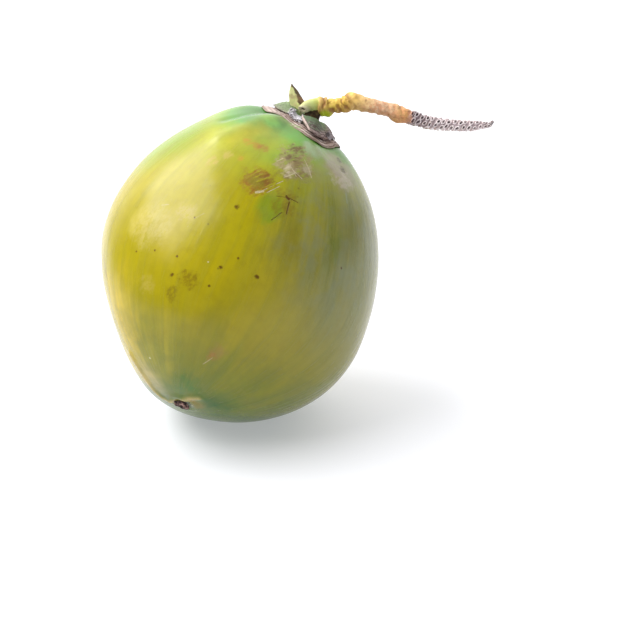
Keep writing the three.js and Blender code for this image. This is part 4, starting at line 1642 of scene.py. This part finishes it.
def make_stalk_bark():
    material, tree, place = new_material("stalk_bark", 0.55, 0.4)
    chart = tree.nodes.new("ShaderNodeUVMap")
    chart.uv_map = "stalk_map"
    along = add(tree, "SeparateXYZ", chart.outputs[0])
    around = calc(tree, "MULTIPLY", add(tree, "SeparateXYZ", chart.outputs[0], out=1), 2 * math.pi)
    under = ease(tree, calc(tree, "COSINE", around), -0.45, 0.30, 1.0, 0.0)
    sway = calc(tree, "MULTIPLY_ADD", grain(tree, place, 260.0, 3.0), 0.03, -0.015)
    along = calc(tree, "ADD", along, sway)
    colour = ramp(tree, along, *STALK_COLOURS)
    raised = add(tree, "Attribute", attribute_name="raised", out=2)
    hollow = add(tree, "Attribute", attribute_name="hollow", out=2)
    tail = ease(tree, along, 0.555, 0.585)
    groove = calc(tree, "SUBTRACT", 1.0, raised)
    knobby = calc(tree, "MULTIPLY", ease(tree, along, 0.085, 0.10),
                  calc(tree, "SUBTRACT", 1.0, tail))
    depth_share = ease(tree, along, 0.24, 0.30, 0.70, 0.22)
    brown = calc(tree, "MULTIPLY", calc(tree, "MULTIPLY", ease(tree, groove, 0.3, 0.95), knobby),
                 depth_share)
    colour = tint(tree, colour, (144, 86, 28), brown)
    net = ease(tree, grain(tree, place, 420.0, 3.0, 0.6), 0.47, 0.53)
    net = calc(tree, "MULTIPLY", net, ease(tree, along, 0.28, 0.36))
    net = calc(tree, "MULTIPLY", net, knobby)
    colour = tint(tree, colour, (262, 176, 124), net, 0.50)
    pits = use(tree, SPECKS, Place=place, Scale=480.0, Size=0.42, Share=0.45)
    pits = calc(tree, "MULTIPLY", pits, knobby)
    colour = tint(tree, colour, (196, 120, 68), pits, 0.30)
    dark = calc(tree, "MULTIPLY", ease(tree, groove, 0.5, 1.0), tail)
    colour = tint(tree, colour, (150, 122, 128), dark, 0.55)
    colour = tint(tree, colour, (56, 38, 44), hollow, 0.95)
    pale = calc(tree, "MULTIPLY", ease(tree, raised, 0.45, 0.85), tail)
    pale = calc(tree, "MULTIPLY", pale, ease(tree, along, 0.57, 0.68, 0.45, 1.0))
    colour = tint(tree, colour, (278, 266, 266), pale, 0.9)
    mottle = grain(tree, place, 700.0, 4.0, 0.65)
    colour = tint(tree, colour, (196, 136, 76), ease(tree, mottle, 0.48, 0.75, 0.0, 0.34))
    # Painted shade: the underside of the knobby part is darkened brown.
    shaded = calc(tree, "MULTIPLY", under, knobby)
    colour = tint(tree, colour, (150, 96, 58), shaded, 0.45)
    green = patch(tree, place, stalk_spot(13.6, 150), 3.2, 1.6, 2, 400)
    colour = tint(tree, colour, (206, 226, 40), green, 0.85)
    return finish_material(material, colour, (mottle, 0.25 * MM), (net, -0.15 * MM),
                           (pits, -0.2 * MM))


paint(stalk_bark, make_stalk_bark(), make_crumbly("torn_end"), make_crumbly("torn_pith"))

# %% [markdown]
# ## The bract
#
# The bract is pale green with a brown flush and a dark dry margin on the folded side. Its map
# says how far across and how far out each point is, so the margin follows the rim.

# %% Make the bract's material
def make_bract():
    material, tree, place = new_material("bract_scale", 0.5, 0.4)
    across, outward = scale_map(tree)
    patchy = grain(tree, place, 330.0, 4.0, 0.6)
    colour = ramp(tree, patchy, (0.3, (250, 262, 166)), (0.55, (276, 276, 200)),
                  (0.75, (272, 240, 184)))
    margin = calc(tree, "MULTIPLY_ADD", calc(tree, "SUBTRACT", patchy, 0.5), 0.5, across)
    colour = tint(tree, colour, (92, 58, 52), ease(tree, margin, 0.50, 0.62, 0.0, 0.92))
    tip = calc(tree, "MULTIPLY_ADD", calc(tree, "SUBTRACT", patchy, 0.5), 0.4, outward)
    colour = tint(tree, colour, (96, 76, 40), ease(tree, tip, 0.84, 1.0, 0.0, 0.7))
    flush = ease(tree, calc(tree, "ABSOLUTE", calc(tree, "SUBTRACT", tip, 0.50)), 0.04, 0.13,
                 0.40, 0.0)
    colour = tint(tree, colour, (206, 156, 118), flush)
    veins = calc(tree, "SINE", calc(tree, "MULTIPLY", across, 60.0))
    return finish_material(material, colour, (patchy, 0.2 * MM), (veins, 0.02 * MM))


paint(bract_scale, make_bract())
